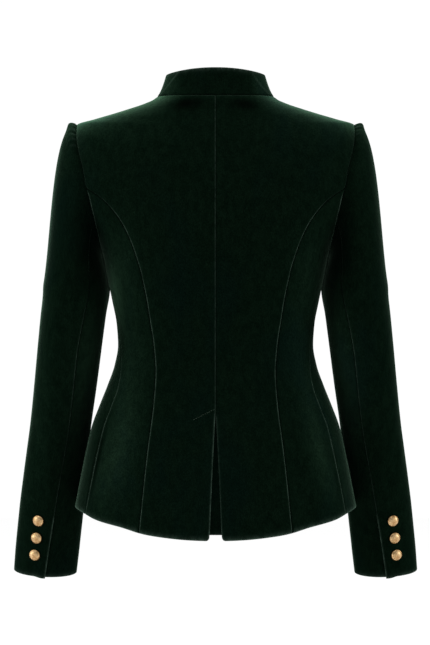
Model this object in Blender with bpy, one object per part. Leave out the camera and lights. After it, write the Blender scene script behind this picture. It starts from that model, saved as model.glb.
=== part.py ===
"""Women's trachten jacket in dark green velvet, closed and filled out as if worn.

The jacket faces -Y, +X is the wearer's left, and the origin is the middle of the
neck opening, level with the neck ends of the shoulder seams. The body is one smooth
surface between hem and neckline, cut into panels at its seams and armholes. The
sleeves start at the armholes, and every cloth piece is a closed wall.
"""

from collections import namedtuple

import bmesh
import bpy
import numpy as np

MM = 0.001

# Cloth
WALL = 2.0 * MM
SEAM_HALF_GAP = 0.17 * MM
LAP_CLEARANCE = 0.6 * MM

# Heights of the body's landmarks, measured at its side
HEM_Z = -574.6 * MM
VENT_TOP_Z = -436.0 * MM
UNDERARM_Z = -217.8 * MM
PRINCESS_TOP_Z = -131.4 * MM
FRONT_PRINCESS_TOP_Z = -124.0 * MM
SHOULDER_Z = -38.8 * MM
NECK_Z = 0.0

# A seam that runs out at the armhole leaves a narrow point, which stops here
PANEL_POINT_CUT = 4.0 * MM

# How fast a ring leaves its side height towards its front and back heights
RING_BOW = 2.5

# Rings round the body. Heights at the side, centre back and centre front, then
# half width, depths behind and before the ring's centre, that centre's Y, and the
# power of the rounded section (2 is an ellipse, more is squarer)
Ring = namedtuple(
    "Ring", "side_z back_z front_z half_width back_depth front_depth centre_y square")
BODY_RINGS = (
    Ring(-574.6, -611.0, -590.0, 197.0, 128.0, 146.0, 14.0, 2.25),
    Ring(-510.0, -523.0, -515.0, 184.5, 114.0, 137.0, 11.0, 2.25),
    Ring(-461.8, -464.0, -463.0, 173.6, 101.0, 123.0, 8.0, 2.25),
    Ring(-433.6, -433.6, -433.6, 163.2, 94.0, 113.0, 5.0, 2.25),
    Ring(-405.0, -405.0, -405.0, 151.9, 87.0, 106.0, 3.0, 2.2),
    Ring(-377.0, -377.0, -377.0, 142.2, 83.0, 100.0, 1.0, 2.2),
    Ring(-349.0, -349.0, -349.0, 137.5, 82.0, 98.0, 0.0, 2.2),
    Ring(-320.0, -320.0, -320.0, 139.3, 85.0, 103.0, 0.0, 2.25),
    Ring(-290.0, -290.0, -290.0, 144.7, 91.5, 112.0, 0.0, 2.3),
    Ring(-250.0, -250.0, -250.0, 153.0, 101.0, 126.0, 0.0, 2.35),
    Ring(-217.8, -217.8, -217.8, 159.5, 106.5, 130.0, 0.0, 2.35),
    Ring(-198.0, -198.0, -199.0, 167.6, 108.5, 126.5, 0.0, 2.35),
    Ring(-174.0, -174.0, -177.0, 181.4, 109.5, 119.0, 0.0, 2.3),
    Ring(-149.0, -149.0, -156.0, 194.5, 109.0, 111.0, 0.0, 2.3),
    Ring(-121.0, -121.5, -136.0, 202.6, 106.5, 102.0, 0.0, 2.3),
    Ring(-86.0, -89.0, -114.0, 202.0, 99.5, 92.0, 0.0, 2.24),
    Ring(-62.0, -68.0, -99.0, 199.6, 93.0, 86.0, 0.0, 2.15),
    Ring(-46.0, -55.0, -88.5, 196.6, 88.0, 82.3, 0.0, 2.06),
    Ring(-38.8, -49.0, -83.5, 194.8, 85.6, 80.4, 0.0, 2.02),
    Ring(-31.7, -41.5, -77.0, 171.5, 82.0, 78.0, 0.0, 2.08),
    Ring(-24.7, -33.5, -70.5, 147.0, 78.0, 75.0, 0.0, 2.18),
    Ring(-17.6, -25.0, -63.5, 124.0, 73.5, 71.5, 0.0, 2.18),
    Ring(-10.6, -16.0, -56.0, 103.0, 68.5, 67.5, 0.0, 2.14),
    Ring(-3.5, -7.0, -48.5, 87.0, 63.0, 63.0, 0.0, 2.1),
    Ring(0.0, -2.7, -45.0, 82.5, 60.0, 61.0, 0.0, 2.1),
)

# Rings up the stand collar, with the same columns
COLLAR_RINGS = (
    Ring(0.0, -2.7, -45.0, 82.5, 60.0, 61.0, 0.0, 2.1),
    Ring(5.0, 4.5, -39.5, 79.4, 58.8, 59.6, 0.0, 2.1),
    Ring(16.0, 18.5, -28.0, 74.6, 56.8, 57.2, 0.0, 2.1),
    Ring(31.0, 36.4, -13.5, 69.8, 55.0, 54.6, 0.0, 2.1),
)
COLLAR_END_HALF_GAP = 7.0 * MM
COLLAR_SEAM_RISE = 0.35 * MM
COLLAR_SEAM_TUCK = 0.12 * MM

# Seam lines, as distances from the centre line or from the side plane
PrincessRow = namedtuple("PrincessRow", "side_z from_centre")
BACK_PRINCESS = (
    PrincessRow(-574.6, 103.0), PrincessRow(-488.0, 92.8), PrincessRow(-431.0, 85.3),
    PrincessRow(-385.0, 82.5), PrincessRow(-354.0, 84.7), PrincessRow(-317.0, 90.0),
    PrincessRow(-282.0, 95.5), PrincessRow(-244.0, 104.0), PrincessRow(-215.0, 113.0),
    PrincessRow(-192.0, 122.6), PrincessRow(-174.0, 133.0), PrincessRow(-147.0, 156.5),
)
FRONT_PRINCESS = (
    PrincessRow(-574.6, 100.0), PrincessRow(-461.0, 84.0), PrincessRow(-349.0, 73.0),
    PrincessRow(-282.0, 84.0), PrincessRow(-228.0, 96.0), PrincessRow(-190.0, 109.0),
    PrincessRow(-160.0, 128.0), PrincessRow(-139.0, 150.0),
)
SideSeam = namedtuple("SideSeam", "side_z behind_side")
SIDE_SEAM = (
    SideSeam(-574.6, 76.0), SideSeam(-500.0, 66.0), SideSeam(-415.0, 50.0), SideSeam(-349.0, 26.0),
    SideSeam(-282.0, 10.0), SideSeam(-217.8, 0.0),
)

# Soft flutes in the skirt: place round the body from its side, spread, and depth
Flute = namedtuple("Flute", "angle spread depth")
FLUTES = (
    Flute(27.0, 6.5, 3.6), Flute(39.0, 6.0, -3.2), Flute(52.0, 7.0, 2.0),
    Flute(-22.0, 8.0, -2.6), Flute(-40.0, 7.0, 3.0), Flute(-56.0, 7.0, -2.4),
)
FLUTE_TOP_Z = -400.0 * MM

# The armhole is an egg shape, narrower at the top
ARMHOLE_BACK_REACH = 56.0 * MM
ARMHOLE_FRONT_REACH = 58.0 * MM
ARMHOLE_EGG = (1.02, -0.20, -0.42)

# Centre back vent, and the underlap behind it
VENT_HALF_OPENING = 9.3 * MM
UNDERLAP_TOP_Z = -424.0 * MM
UNDERLAP_HEM_Z = -568.6 * MM
UNDERLAP_HALF_WIDTH = 34.0 * MM

# Fronts: the right one laps over the left
RIGHT_FRONT_PAST_CENTRE = 18.0 * MM
LEFT_FRONT_PAST_CENTRE = 11.0 * MM
LAP_RAMP = (32.0 * MM, 15.0 * MM)
FRONT_CORNER_RADIUS = 14.0 * MM

# Sleeve sections: centre, half width, half depth, how far the outer side is raised
# and how far the ring leans forward, in degrees
Section = namedtuple("Section", "z x y half_width half_depth raised lean")
SLEEVE_SECTIONS = (
    Section(-250.0, 197.4, 2.0, 43.2, 60.0, 0.0, 0.0),
    Section(-271.0, 197.2, 3.0, 45.8, 59.0, 0.0, 0.0),
    Section(-306.7, 200.4, 4.0, 45.8, 57.0, 0.0, 2.0),
    Section(-349.0, 205.2, 2.0, 45.2, 54.0, 1.0, 6.0),
    Section(-405.0, 212.0, -7.0, 44.2, 50.0, 2.0, 10.0),
    Section(-461.8, 219.8, -21.0, 43.3, 46.0, 2.0, 12.0),
    Section(-504.0, 225.6, -33.0, 44.0, 43.5, 3.0, 12.0),
    Section(-535.0, 229.4, -41.5, 45.0, 42.0, 3.0, 12.0),
    Section(-585.0, 235.4, -53.5, 46.1, 40.0, 3.0, 11.0),
    Section(-637.0, 241.5, -63.5, 46.0, 39.0, 3.0, 9.0),
    Section(-675.0, 245.6, -70.0, 45.3, 38.0, 3.0, 8.0),
)
BICEP_Z = -250.0 * MM
CUFF_Z = -675.0 * MM

# Where the sleeve's two seams lie round it, in degrees: 0 is outwards, 90 is back
SleeveSeam = namedtuple("SleeveSeam", "down hind fore")
SLEEVE_SEAMS = (
    SleeveSeam(0.0, 126.0, 236.0), SleeveSeam(0.25, 121.0, 234.0), SleeveSeam(0.45, 108.0, 230.0),
    SleeveSeam(0.60, 109.0, 228.0), SleeveSeam(0.80, 100.0, 226.0), SleeveSeam(1.0, 93.0, 225.0),
)
CAP_SHARE = 0.25

# How strongly the sleeve leaves its seam: outwards and up at the shoulder, outwards
# and down at the underarm, and forwards or backwards between them
HEAD_OUT = 100.0 * MM
HEAD_UP = 34.0 * MM
UNDERARM_OUT = 2.0 * MM
UNDERARM_DOWN = 30.0 * MM
CAP_FORE_AND_AFT = 14.0 * MM
ARMHOLE_MIDDLE = (180.0 * MM, 0.0, (SHOULDER_Z + UNDERARM_Z) / 2.0)

# The sleeve head's small raised roll: height, where it lies down the cap and how wide
# it is there, where it starts, how fast it dies out round the armhole, and its way up
HEAD_ROLL = 4.6 * MM
HEAD_ROLL_AT = 0.085
HEAD_ROLL_SPREAD = 0.07
HEAD_ROLL_START = 0.05
HEAD_ROLL_FADE = 1.5
HEAD_ROLL_WAY = (0.75, 0.0, 0.66)

# Buttons
CUFF_BUTTON_RADIUS = 8.0 * MM
FRONT_BUTTON_RADIUS = 9.0 * MM
CUFF_BUTTON_ANGLE = 71.0
CUFF_BUTTON_HEIGHTS = (83.0 * MM, 57.3 * MM, 32.0 * MM)
FRONT_BUTTON_TOP_Z = -80.0 * MM
FRONT_BUTTON_LOW_Z = -372.0 * MM
FRONT_BUTTON_COUNT = 6
BUTTON_SIDES = 12
BUTTON_SEAT = 0.3 * MM
FRONT_BUTTON_SEAT = 0.3 * MM
# Turned profile, as shares of the radius: out from the axis, up from the cloth
BUTTON_PROFILE = (
    (0.0, 0.0), (0.84, 0.0), (1.0, 0.11), (0.98, 0.24), (0.78, 0.40), (0.42, 0.52), (0.0, 0.56),
)

# Grid lines of the walls
LEVELS = tuple(z * MM for z in (
    -574.6, -556, -534, -511, -487, -462, -436, -410, -388, -368, -349, -326, -300, -274, -246, -217.8,
    -203, -187, -169, -150, -135.4, -131.4, -128, -112, -94, -76, -62, -52, -45, -41, -38.8,
    -34, -28, -20, -12, -5, 0))
BACK_COLUMNS = np.linspace(0.0, 1.0, 7)
SIDE_COLUMNS = np.linspace(0.0, 1.0, 6)
SIDE_FRONT_COLUMNS = np.linspace(0.0, 1.0, 8)
FRONT_COLUMNS = np.array((0.0, 0.17, 0.34, 0.50, 0.66, 0.78, 0.88, 0.95, 1.0))
UNDERLAP_COLUMNS = np.linspace(0.0, 1.0, 6)
CAP_STEPS = (0.0, 0.045, 0.10, 0.17, 0.26, 0.38, 0.52, 0.68, 0.84, 1.0)
SLEEVE_LEVELS = tuple(z * MM for z in (
    -271, -300, -331, -362, -393, -424, -455, -487, -519, -551, -583, -614, -645, -675))
UPPER_SLEEVE_COLUMNS = np.linspace(0.0, 1.0, 16)
UNDER_SLEEVE_COLUMNS = np.linspace(0.0, 1.0, 8)

# Steps of the small differences that give a surface's normal: along it, round the
# body, round the sleeve, and down the sleeve
TINY = 0.05 * MM
TINY_TURN = 0.0005
SLEEVE_TURN = 0.01
SLEEVE_STEP = 0.0015
TANGENT_DROP = 4.0 * MM

# A seam is looked for between these turns from the side plane
FAR_TURN = 1.4
BEFORE_SIDE = -0.2
SEARCH_STEPS = 40

# Usual radius of the sleeve, and the least turn between two columns of the collar
SLEEVE_RADIUS = 45.0 * MM
COLLAR_COLUMN_TURN = 0.02


def smooth_column(rows, at, name):
    """A smooth line through one column of a table, with no overshoot between rows."""
    x = np.array([getattr(row, at) for row in rows], dtype=float)
    y = np.array([getattr(row, name) for row in rows], dtype=float)
    order = np.argsort(x)
    x, y = x[order], y[order]
    step = np.diff(x)
    rise = np.diff(y) / step
    slope = np.zeros_like(y)
    slope[0], slope[-1] = rise[0], rise[-1]
    for i in range(1, len(x) - 1):
        if rise[i - 1] * rise[i] > 0.0:
            before = 2.0 * step[i] + step[i - 1]
            after = step[i] + 2.0 * step[i - 1]
            slope[i] = (before + after) / (before / rise[i - 1] + after / rise[i])

    def read(value):
        value = np.clip(np.asarray(value, dtype=float), x[0], x[-1])
        i = np.clip(np.searchsorted(x, value, side="right") - 1, 0, len(x) - 2)
        t = (value - x[i]) / step[i]
        return (y[i] * (1 + 2 * t) * (1 - t) ** 2 + slope[i] * step[i] * t * (1 - t) ** 2
                + y[i + 1] * t * t * (3 - 2 * t) + slope[i + 1] * step[i] * t * t * (t - 1))

    return read


def table_reader(rows, at):
    """A reader that gives every other column of a table, in millimetres or degrees."""
    names = [name for name in rows[0]._fields if name != at]
    columns = {name: smooth_column(rows, at, name) for name in names}
    kind = namedtuple("Values", names)

    def read(value):
        return kind(*(columns[name](value) for name in names))

    return read


def smoothstep(value):
    value = np.clip(value, 0.0, 1.0)
    return value * value * (3.0 - 2.0 * value)


def unit(vectors):
    return vectors / np.linalg.norm(vectors, axis=-1, keepdims=True)


def ring_surface(rings, phi, side_z, fluted):
    """Points of a ringed surface: phi is 0 at the wearer's left side, a quarter turn at the back."""
    phi, side_z = np.broadcast_arrays(np.asarray(phi, dtype=float), np.asarray(side_z, dtype=float))
    ring = rings(side_z / MM)
    behind = np.sin(phi) >= 0.0
    depth = np.where(behind, ring.back_depth, ring.front_depth)
    level = np.where(behind, ring.back_z, ring.front_z)
    across, along = np.abs(np.cos(phi)), np.abs(np.sin(phi))
    reach = (across / ring.half_width) ** ring.square + (along / depth) ** ring.square
    reach = reach ** (-1.0 / ring.square)
    bow = np.clip(reach * along / depth, 0.0, 1.0) ** RING_BOW
    z = side_z / MM + (level - side_z / MM) * bow
    if fluted:
        fold = np.degrees(np.arctan2(np.sin(phi), across))
        ramp = smoothstep((FLUTE_TOP_Z - side_z) / (FLUTE_TOP_Z - HEM_Z))
        for flute in FLUTES:
            reach = reach + flute.depth * ramp * np.exp(-((fold - flute.angle) / flute.spread) ** 2)
    x = reach * np.cos(phi)
    y = ring.centre_y + reach * np.sin(phi)
    return np.stack((x, y, z), axis=-1) * MM


body_rings = table_reader(BODY_RINGS, "side_z")
collar_rings = table_reader(COLLAR_RINGS, "side_z")


def body(phi, side_z, fluted=True):
    return ring_surface(body_rings, phi, side_z, fluted)


def collar(phi, side_z):
    return ring_surface(collar_rings, phi, side_z, False)


def ring_normal(surface, phi, side_z, top_z):
    """Outward normals of a ringed surface whose last ring is at top_z."""
    side_z = np.minimum(side_z, top_z - TINY)
    around = surface(phi + TINY_TURN, side_z) - surface(phi - TINY_TURN, side_z)
    upward = surface(phi, side_z + TINY) - surface(phi, side_z - TINY)
    return unit(np.cross(around, upward))


def body_normal(phi, side_z):
    return ring_normal(body, phi, side_z, NECK_Z)


def angle_where(side_z, axis, target, low, high):
    """The turn between low and high where the unfluted body has target as its X or Y."""
    side_z, target = np.broadcast_arrays(np.asarray(side_z, dtype=float), np.asarray(target, dtype=float))
    low = np.full(side_z.shape, float(low))
    high = np.full(side_z.shape, float(high))
    rising = body(high, side_z, False)[..., axis] > body(low, side_z, False)[..., axis]
    for _ in range(SEARCH_STEPS):
        middle = (low + high) / 2.0
        above = (body(middle, side_z, False)[..., axis] > target) == rising
        low, high = np.where(above, low, middle), np.where(above, middle, high)
    return (low + high) / 2.0


def armhole_reach(side_z, furthest):
    """How far the armhole's edge lies from the side plane at a height."""
    middle = (SHOULDER_Z + UNDERARM_Z) / 2.0
    up = np.clip((side_z - middle) / (SHOULDER_Z - middle), -1.0, 1.0)
    plain, first, second = ARMHOLE_EGG
    return furthest * np.sqrt(1.0 - up * up) * (plain + first * up + second * up * up)


def armhole_back(side_z):
    return angle_where(side_z, 1, armhole_reach(side_z, ARMHOLE_BACK_REACH), 0.0, FAR_TURN)


def armhole_front(side_z):
    return angle_where(side_z, 1, -armhole_reach(side_z, ARMHOLE_FRONT_REACH), 0.0, -FAR_TURN)


def princess_line(rows, top_z, armhole, quarter):
    """A reader of the turn of a princess seam, whose top end lies on the armhole."""
    armhole_x = float(body(armhole(np.array(top_z)), top_z, False)[..., 0])
    rows = rows + (PrincessRow(top_z / MM, armhole_x / MM),)
    from_centre = smooth_column(rows, "side_z", "from_centre")

    def read(side_z):
        return angle_where(side_z, 0, from_centre(np.minimum(side_z, top_z) / MM) * MM, 0.0, quarter)

    return read


back_princess = princess_line(BACK_PRINCESS, PRINCESS_TOP_Z, armhole_back, np.pi / 2)
front_princess = princess_line(FRONT_PRINCESS, FRONT_PRINCESS_TOP_Z, armhole_front, -np.pi / 2)
side_seam_y = smooth_column(SIDE_SEAM, "side_z", "behind_side")


def side_seam(side_z):
    return angle_where(side_z, 1, side_seam_y(side_z / MM) * MM, BEFORE_SIDE, FAR_TURN)


def turn_of(length, phi, side_z):
    """The turn round the body that covers a length of cloth."""
    point = body(phi, side_z, False)
    return length / np.hypot(point[..., 0], point[..., 1])


def back_outer_edge(side_z):
    """Outer edge of a centre back panel: princess seam, armhole, then shoulder seam."""
    seam = back_princess(side_z)
    seam = seam + turn_of(SEAM_HALF_GAP, seam, side_z)
    shoulder = turn_of(SEAM_HALF_GAP, 0.0 * side_z, side_z)
    edge = np.where(side_z > PRINCESS_TOP_Z + TINY, armhole_back(side_z), seam)
    return np.where(side_z > SHOULDER_Z - TINY, shoulder, edge)


def front_outer_edge(side_z):
    """Outer edge of a front panel: princess seam, armhole, then shoulder seam."""
    seam = front_princess(side_z)
    seam = seam - turn_of(SEAM_HALF_GAP, seam, side_z)
    shoulder = -turn_of(SEAM_HALF_GAP, 0.0 * side_z, side_z)
    edge = np.where(side_z > FRONT_PRINCESS_TOP_Z + TINY, armhole_front(side_z), seam)
    return np.where(side_z > SHOULDER_Z - TINY, shoulder, edge)


def back_centre_edge(side_z):
    """Centre back edge, which opens into the vent below the waist."""
    vent = np.clip((VENT_TOP_Z - side_z) / (VENT_TOP_Z - HEM_Z), 0.0, 1.0)
    half_gap = SEAM_HALF_GAP + VENT_HALF_OPENING * vent
    return np.pi / 2 - turn_of(half_gap, np.pi / 2 + 0.0 * side_z, side_z)


def centre_front_edge(past_centre):
    """Centre front edge of a left panel that reaches past the centre line."""
    def read(side_z):
        return -np.pi / 2 - turn_of(past_centre, -np.pi / 2 + 0.0 * side_z, side_z)
    return read


def side_back_low(side_z):
    seam = side_seam(side_z)
    seam = seam + turn_of(SEAM_HALF_GAP, seam, side_z)
    return np.where(side_z > UNDERARM_Z + TINY, armhole_back(side_z), seam)


def side_back_high(side_z):
    seam = back_princess(side_z)
    return seam - turn_of(SEAM_HALF_GAP, seam, side_z)


def side_front_low(side_z):
    seam = front_princess(side_z)
    return seam + turn_of(SEAM_HALF_GAP, seam, side_z)


def side_front_high(side_z):
    seam = side_seam(side_z)
    seam = seam - turn_of(SEAM_HALF_GAP, seam, side_z)
    return np.where(side_z > UNDERARM_Z + TINY, armhole_front(side_z), seam)


def wall_grids(low, high, levels, columns, lift=None, corner=0.0):
    """Outer and inner points of a panel between two edge lines.

    lift, where it is given, moves the panel out from the body by an amount that
    depends on the point, and corner is the radius of the hem corner at the last column.
    """
    side_z = np.array(levels)[:, None] + 0.0 * columns[None, :]
    edge_z = np.array(levels)
    phi = low(edge_z)[:, None] * (1.0 - columns) + high(edge_z)[:, None] * columns
    hem = body(phi[0], side_z[0])
    inside = np.clip(corner - np.linalg.norm(hem - hem[-1], axis=-1), 0.0, corner)
    side_z[0] += corner - np.sqrt(corner ** 2 - inside ** 2)
    surface = body(phi, side_z)
    normal = body_normal(phi, side_z)
    raised = 0.0 if lift is None else lift(surface)[..., None]
    return surface + raised * normal, surface + (raised - WALL) * normal


def closed_wall(name, outer, inner, material):
    """One closed solid between two matching grids of points."""
    rows, columns = outer.shape[:2]
    mesh = bmesh.new()
    sides = [[[mesh.verts.new(point) for point in row] for row in grid] for grid in (outer, inner)]

    def patch(a, b, c, d):
        mesh.faces.new((a, b, c))
        mesh.faces.new((a, c, d))

    for side, flip in zip(sides, (False, True)):
        for i in range(rows - 1):
            for j in range(columns - 1):
                corners = (side[i][j], side[i][j + 1], side[i + 1][j + 1], side[i + 1][j])
                first, second = (corners[0], corners[1], corners[2]), (corners[0], corners[2], corners[3])
                for face in (first, second):
                    mesh.faces.new(tuple(reversed(face)) if flip else face)
    front, back = sides
    for i in range(rows - 1):
        patch(front[i][0], front[i + 1][0], back[i + 1][0], back[i][0])
        patch(front[i + 1][-1], front[i][-1], back[i][-1], back[i + 1][-1])
    for j in range(columns - 1):
        patch(front[0][j + 1], front[0][j], back[0][j], back[0][j + 1])
        patch(front[-1][j], front[-1][j + 1], back[-1][j + 1], back[-1][j])
    bmesh.ops.recalc_face_normals(mesh, faces=mesh.faces)
    data = bpy.data.meshes.new(name)
    mesh.to_mesh(data)
    mesh.free()
    data.shade_smooth()
    data.materials.append(material)
    part = bpy.data.objects.new(name, data)
    bpy.context.collection.objects.link(part)
    return part


def both_sides(name, outer, inner, material):
    """A piece on the wearer's left, and its mirror image on the right."""
    closed_wall(name + "_left", outer, inner, material)
    mirror = np.array((-1.0, 1.0, 1.0))
    closed_wall(name + "_right", outer * mirror, inner * mirror, material)


def levels_up_to(top):
    return [z for z in LEVELS if z <= top + TINY]


def make_back(material):
    outer, inner = wall_grids(back_outer_edge, back_centre_edge, LEVELS, BACK_COLUMNS)
    both_sides("back", outer, inner, material)
    levels = levels_up_to(PRINCESS_TOP_Z - PANEL_POINT_CUT)
    outer, inner = wall_grids(side_back_low, side_back_high, levels, SIDE_COLUMNS)
    both_sides("side_back", outer, inner, material)


def make_underlap(material):
    """The layer behind the vent, which hangs from the back panels."""
    levels = [UNDERLAP_HEM_Z] + [z for z in LEVELS if HEM_Z < z < UNDERLAP_TOP_Z] + [UNDERLAP_TOP_Z]

    def low(side_z):
        return np.pi / 2 - turn_of(UNDERLAP_HALF_WIDTH, np.pi / 2 + 0.0 * side_z, side_z)

    def high(side_z):
        return np.pi / 2 + turn_of(UNDERLAP_HALF_WIDTH, np.pi / 2 + 0.0 * side_z, side_z)

    def sunk(points):
        return np.full(points.shape[:-1], -(WALL + LAP_CLEARANCE))

    outer, inner = wall_grids(low, high, levels, UNDERLAP_COLUMNS, sunk)
    closed_wall("vent_underlap", outer, inner, material)


def make_fronts(material):
    levels = levels_up_to(FRONT_PRINCESS_TOP_Z - PANEL_POINT_CUT)
    outer, inner = wall_grids(side_front_low, side_front_high, levels, SIDE_FRONT_COLUMNS)
    both_sides("side_front", outer, inner, material)

    edge = centre_front_edge(LEFT_FRONT_PAST_CENTRE)
    outer, inner = wall_grids(front_outer_edge, edge, LEVELS, FRONT_COLUMNS, corner=FRONT_CORNER_RADIUS)
    closed_wall("front_left", outer, inner, material)

    def lapped(points):
        start, full = LAP_RAMP
        return (WALL + LAP_CLEARANCE) * smoothstep((start - points[..., 0]) / (start - full))

    edge = centre_front_edge(RIGHT_FRONT_PAST_CENTRE)
    outer, inner = wall_grids(front_outer_edge, edge, LEVELS, FRONT_COLUMNS, lapped, FRONT_CORNER_RADIUS)
    mirror = np.array((-1.0, 1.0, 1.0))
    closed_wall("front_right", outer * mirror, inner * mirror, material)


def collar_half_columns(past_centre):
    """Turns of one half of the collar, at the same points as the panels' neckline."""
    end = -np.pi / 2 + COLLAR_END_HALF_GAP / (COLLAR_RINGS[0].front_depth * MM)
    front = float(centre_front_edge(past_centre)(np.array(NECK_Z))) * FRONT_COLUMNS
    front = np.concatenate(([end], front[front > end + COLLAR_COLUMN_TURN][::-1]))
    return np.concatenate((front, np.pi / 2 * BACK_COLUMNS[1:]))


def make_collar(material):
    """Stand collar on the neckline, open at the centre front."""
    left = collar_half_columns(LEFT_FRONT_PAST_CENTRE)
    right = np.pi - collar_half_columns(RIGHT_FRONT_PAST_CENTRE)[::-1]
    phi = np.concatenate((left, right[1:]))[None, :]
    side_z = np.array([ring.side_z * MM for ring in COLLAR_RINGS])[:, None]
    top_z = COLLAR_RINGS[-1].side_z * MM
    outer = collar(phi, side_z)
    normal = ring_normal(collar, phi + 0.0 * side_z, np.clip(side_z, TINY, top_z) + 0.0 * phi, top_z)
    outwards = unit(outer * np.array((1.0, 1.0, 0.0)))
    outer = outer + COLLAR_SEAM_RISE * np.array((0.0, 0.0, 1.0)) - COLLAR_SEAM_TUCK * outwards
    closed_wall("collar", outer, outer - WALL * normal, material)


sleeve_section = table_reader(SLEEVE_SECTIONS, "z")
sleeve_seam = table_reader(SLEEVE_SEAMS, "down")


def sleeve_tube(psi, z):
    """The sleeve below the biceps: psi is 0 outwards, a quarter turn at the back."""
    section = sleeve_section(z / MM)
    raised, lean = np.radians(section.raised), np.radians(section.lean)
    across = section.half_width * np.cos(psi)
    along = section.half_depth * np.sin(psi)
    x = section.x + across * np.cos(raised)
    y = section.y + along * np.cos(lean)
    down = z / MM + across * np.sin(raised) - along * np.sin(lean)
    return np.stack((x, y, down), axis=-1) * MM


def armhole_edge(psi):
    """The armhole's edge and the body's normal there, from the shoulder (psi 0) round the back."""
    side_z = (SHOULDER_Z + UNDERARM_Z) / 2.0 + (SHOULDER_Z - UNDERARM_Z) / 2.0 * np.cos(psi)
    phi = np.where(np.sin(psi) >= 0.0, armhole_back(side_z), armhole_front(side_z))
    return body(phi, side_z), body_normal(phi, np.minimum(side_z, SHOULDER_Z - TINY))


def sleeve_departure(psi):
    """Direction and strength with which the sleeve leaves the armhole seam."""
    top = (1.0 + np.cos(psi)) / 2.0
    x = HEAD_OUT * top + UNDERARM_OUT * (1.0 - top)
    y = CAP_FORE_AND_AFT * np.sin(psi)
    z = HEAD_UP * top * top - UNDERARM_DOWN * (1.0 - top)
    return np.stack((x, y, z), axis=-1)


def sleeve_cap(psi, share):
    """The cap between the armhole (share 0) and the biceps ring (share 1)."""
    psi, share = np.broadcast_arrays(np.asarray(psi, dtype=float), np.asarray(share, dtype=float))
    edge, normal = armhole_edge(psi)
    ahead = armhole_edge(psi + SLEEVE_TURN)[0] - armhole_edge(psi - SLEEVE_TURN)[0]
    leave = sleeve_departure(psi)
    inward = unit(np.cross(ahead, normal))
    inward = inward * np.sign(np.sum(inward * (np.array(ARMHOLE_MIDDLE) - edge), axis=-1, keepdims=True))
    heading = unit(leave)
    rise = np.clip(np.sum(heading * normal, axis=-1), 0.0, 1.0)
    half = np.arctan2(rise, np.sum(heading * inward, axis=-1))[..., None] / 2.0
    start = edge + 2.0 * SEAM_HALF_GAP * (inward * np.cos(half) + normal * np.sin(half))
    end = sleeve_tube(psi, np.full(psi.shape, BICEP_Z))
    span = np.linalg.norm(end - start, axis=-1, keepdims=True)
    arrive = unit(sleeve_tube(psi, np.full(psi.shape, BICEP_Z - TANGENT_DROP)) - end) * span
    t = share[..., None]
    point = (start * (1 + 2 * t) * (1 - t) ** 2 + leave * t * (1 - t) ** 2
             + end * t * t * (3 - 2 * t) + arrive * t * t * (t - 1))
    top = np.clip(np.cos(psi), 0.0, 1.0)[..., None] ** HEAD_ROLL_FADE
    roll = HEAD_ROLL * top * np.exp(-((t - HEAD_ROLL_AT) / HEAD_ROLL_SPREAD) ** 2)
    return point + roll * smoothstep(t / HEAD_ROLL_START) * np.array(HEAD_ROLL_WAY)


def sleeve(psi, down):
    """The whole sleeve: down is 0 at the armhole, CAP_SHARE at the biceps and 1 at the cuff."""
    psi, down = np.broadcast_arrays(np.asarray(psi, dtype=float), np.asarray(down, dtype=float))
    cap = sleeve_cap(psi, np.clip(down / CAP_SHARE, 0.0, 1.0))
    below = np.clip((down - CAP_SHARE) / (1.0 - CAP_SHARE), 0.0, 1.0)
    tube = sleeve_tube(psi, BICEP_Z + (CUFF_Z - BICEP_Z) * below)
    return np.where((down < CAP_SHARE)[..., None], cap, tube)


def sleeve_normal(psi, down):
    """Outward normals of the sleeve."""
    middle = np.clip(down, SLEEVE_STEP, 1.0 - SLEEVE_STEP)
    around = sleeve(psi + SLEEVE_TURN, down) - sleeve(psi - SLEEVE_TURN, down)
    along = sleeve(psi, middle - SLEEVE_STEP) - sleeve(psi, middle + SLEEVE_STEP)
    return unit(np.cross(around, along))


def sleeve_downs():
    cap = [CAP_SHARE * step for step in CAP_STEPS]
    tube = [CAP_SHARE + (1.0 - CAP_SHARE) * (z - BICEP_Z) / (CUFF_Z - BICEP_Z) for z in SLEEVE_LEVELS]
    return np.array(cap + tube)


def sleeve_piece(start, end, columns):
    """Wall grids of a sleeve piece between two lines round the sleeve."""
    downs = sleeve_downs()
    first, last = start(downs), end(downs)
    psi = first[:, None] * (1.0 - columns) + last[:, None] * columns
    down = downs[:, None] + 0.0 * psi
    outer = sleeve(psi, down)
    return outer, outer - WALL * sleeve_normal(psi, down)


def make_sleeves(material):
    half_turn = SEAM_HALF_GAP / SLEEVE_RADIUS

    def hind(down):
        return np.radians(sleeve_seam(down).hind)

    def fore(down):
        return np.radians(sleeve_seam(down).fore)

    def upper_start(down):
        return fore(down) - 2 * np.pi + half_turn

    def upper_end(down):
        return hind(down) - half_turn

    def under_start(down):
        return hind(down) + half_turn

    def under_end(down):
        return fore(down) - half_turn

    outer, inner = sleeve_piece(upper_start, upper_end, UPPER_SLEEVE_COLUMNS)
    both_sides("upper_sleeve", outer, inner, material)
    outer, inner = sleeve_piece(under_start, under_end, UNDER_SLEEVE_COLUMNS)
    both_sides("under_sleeve", outer, inner, material)


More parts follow.
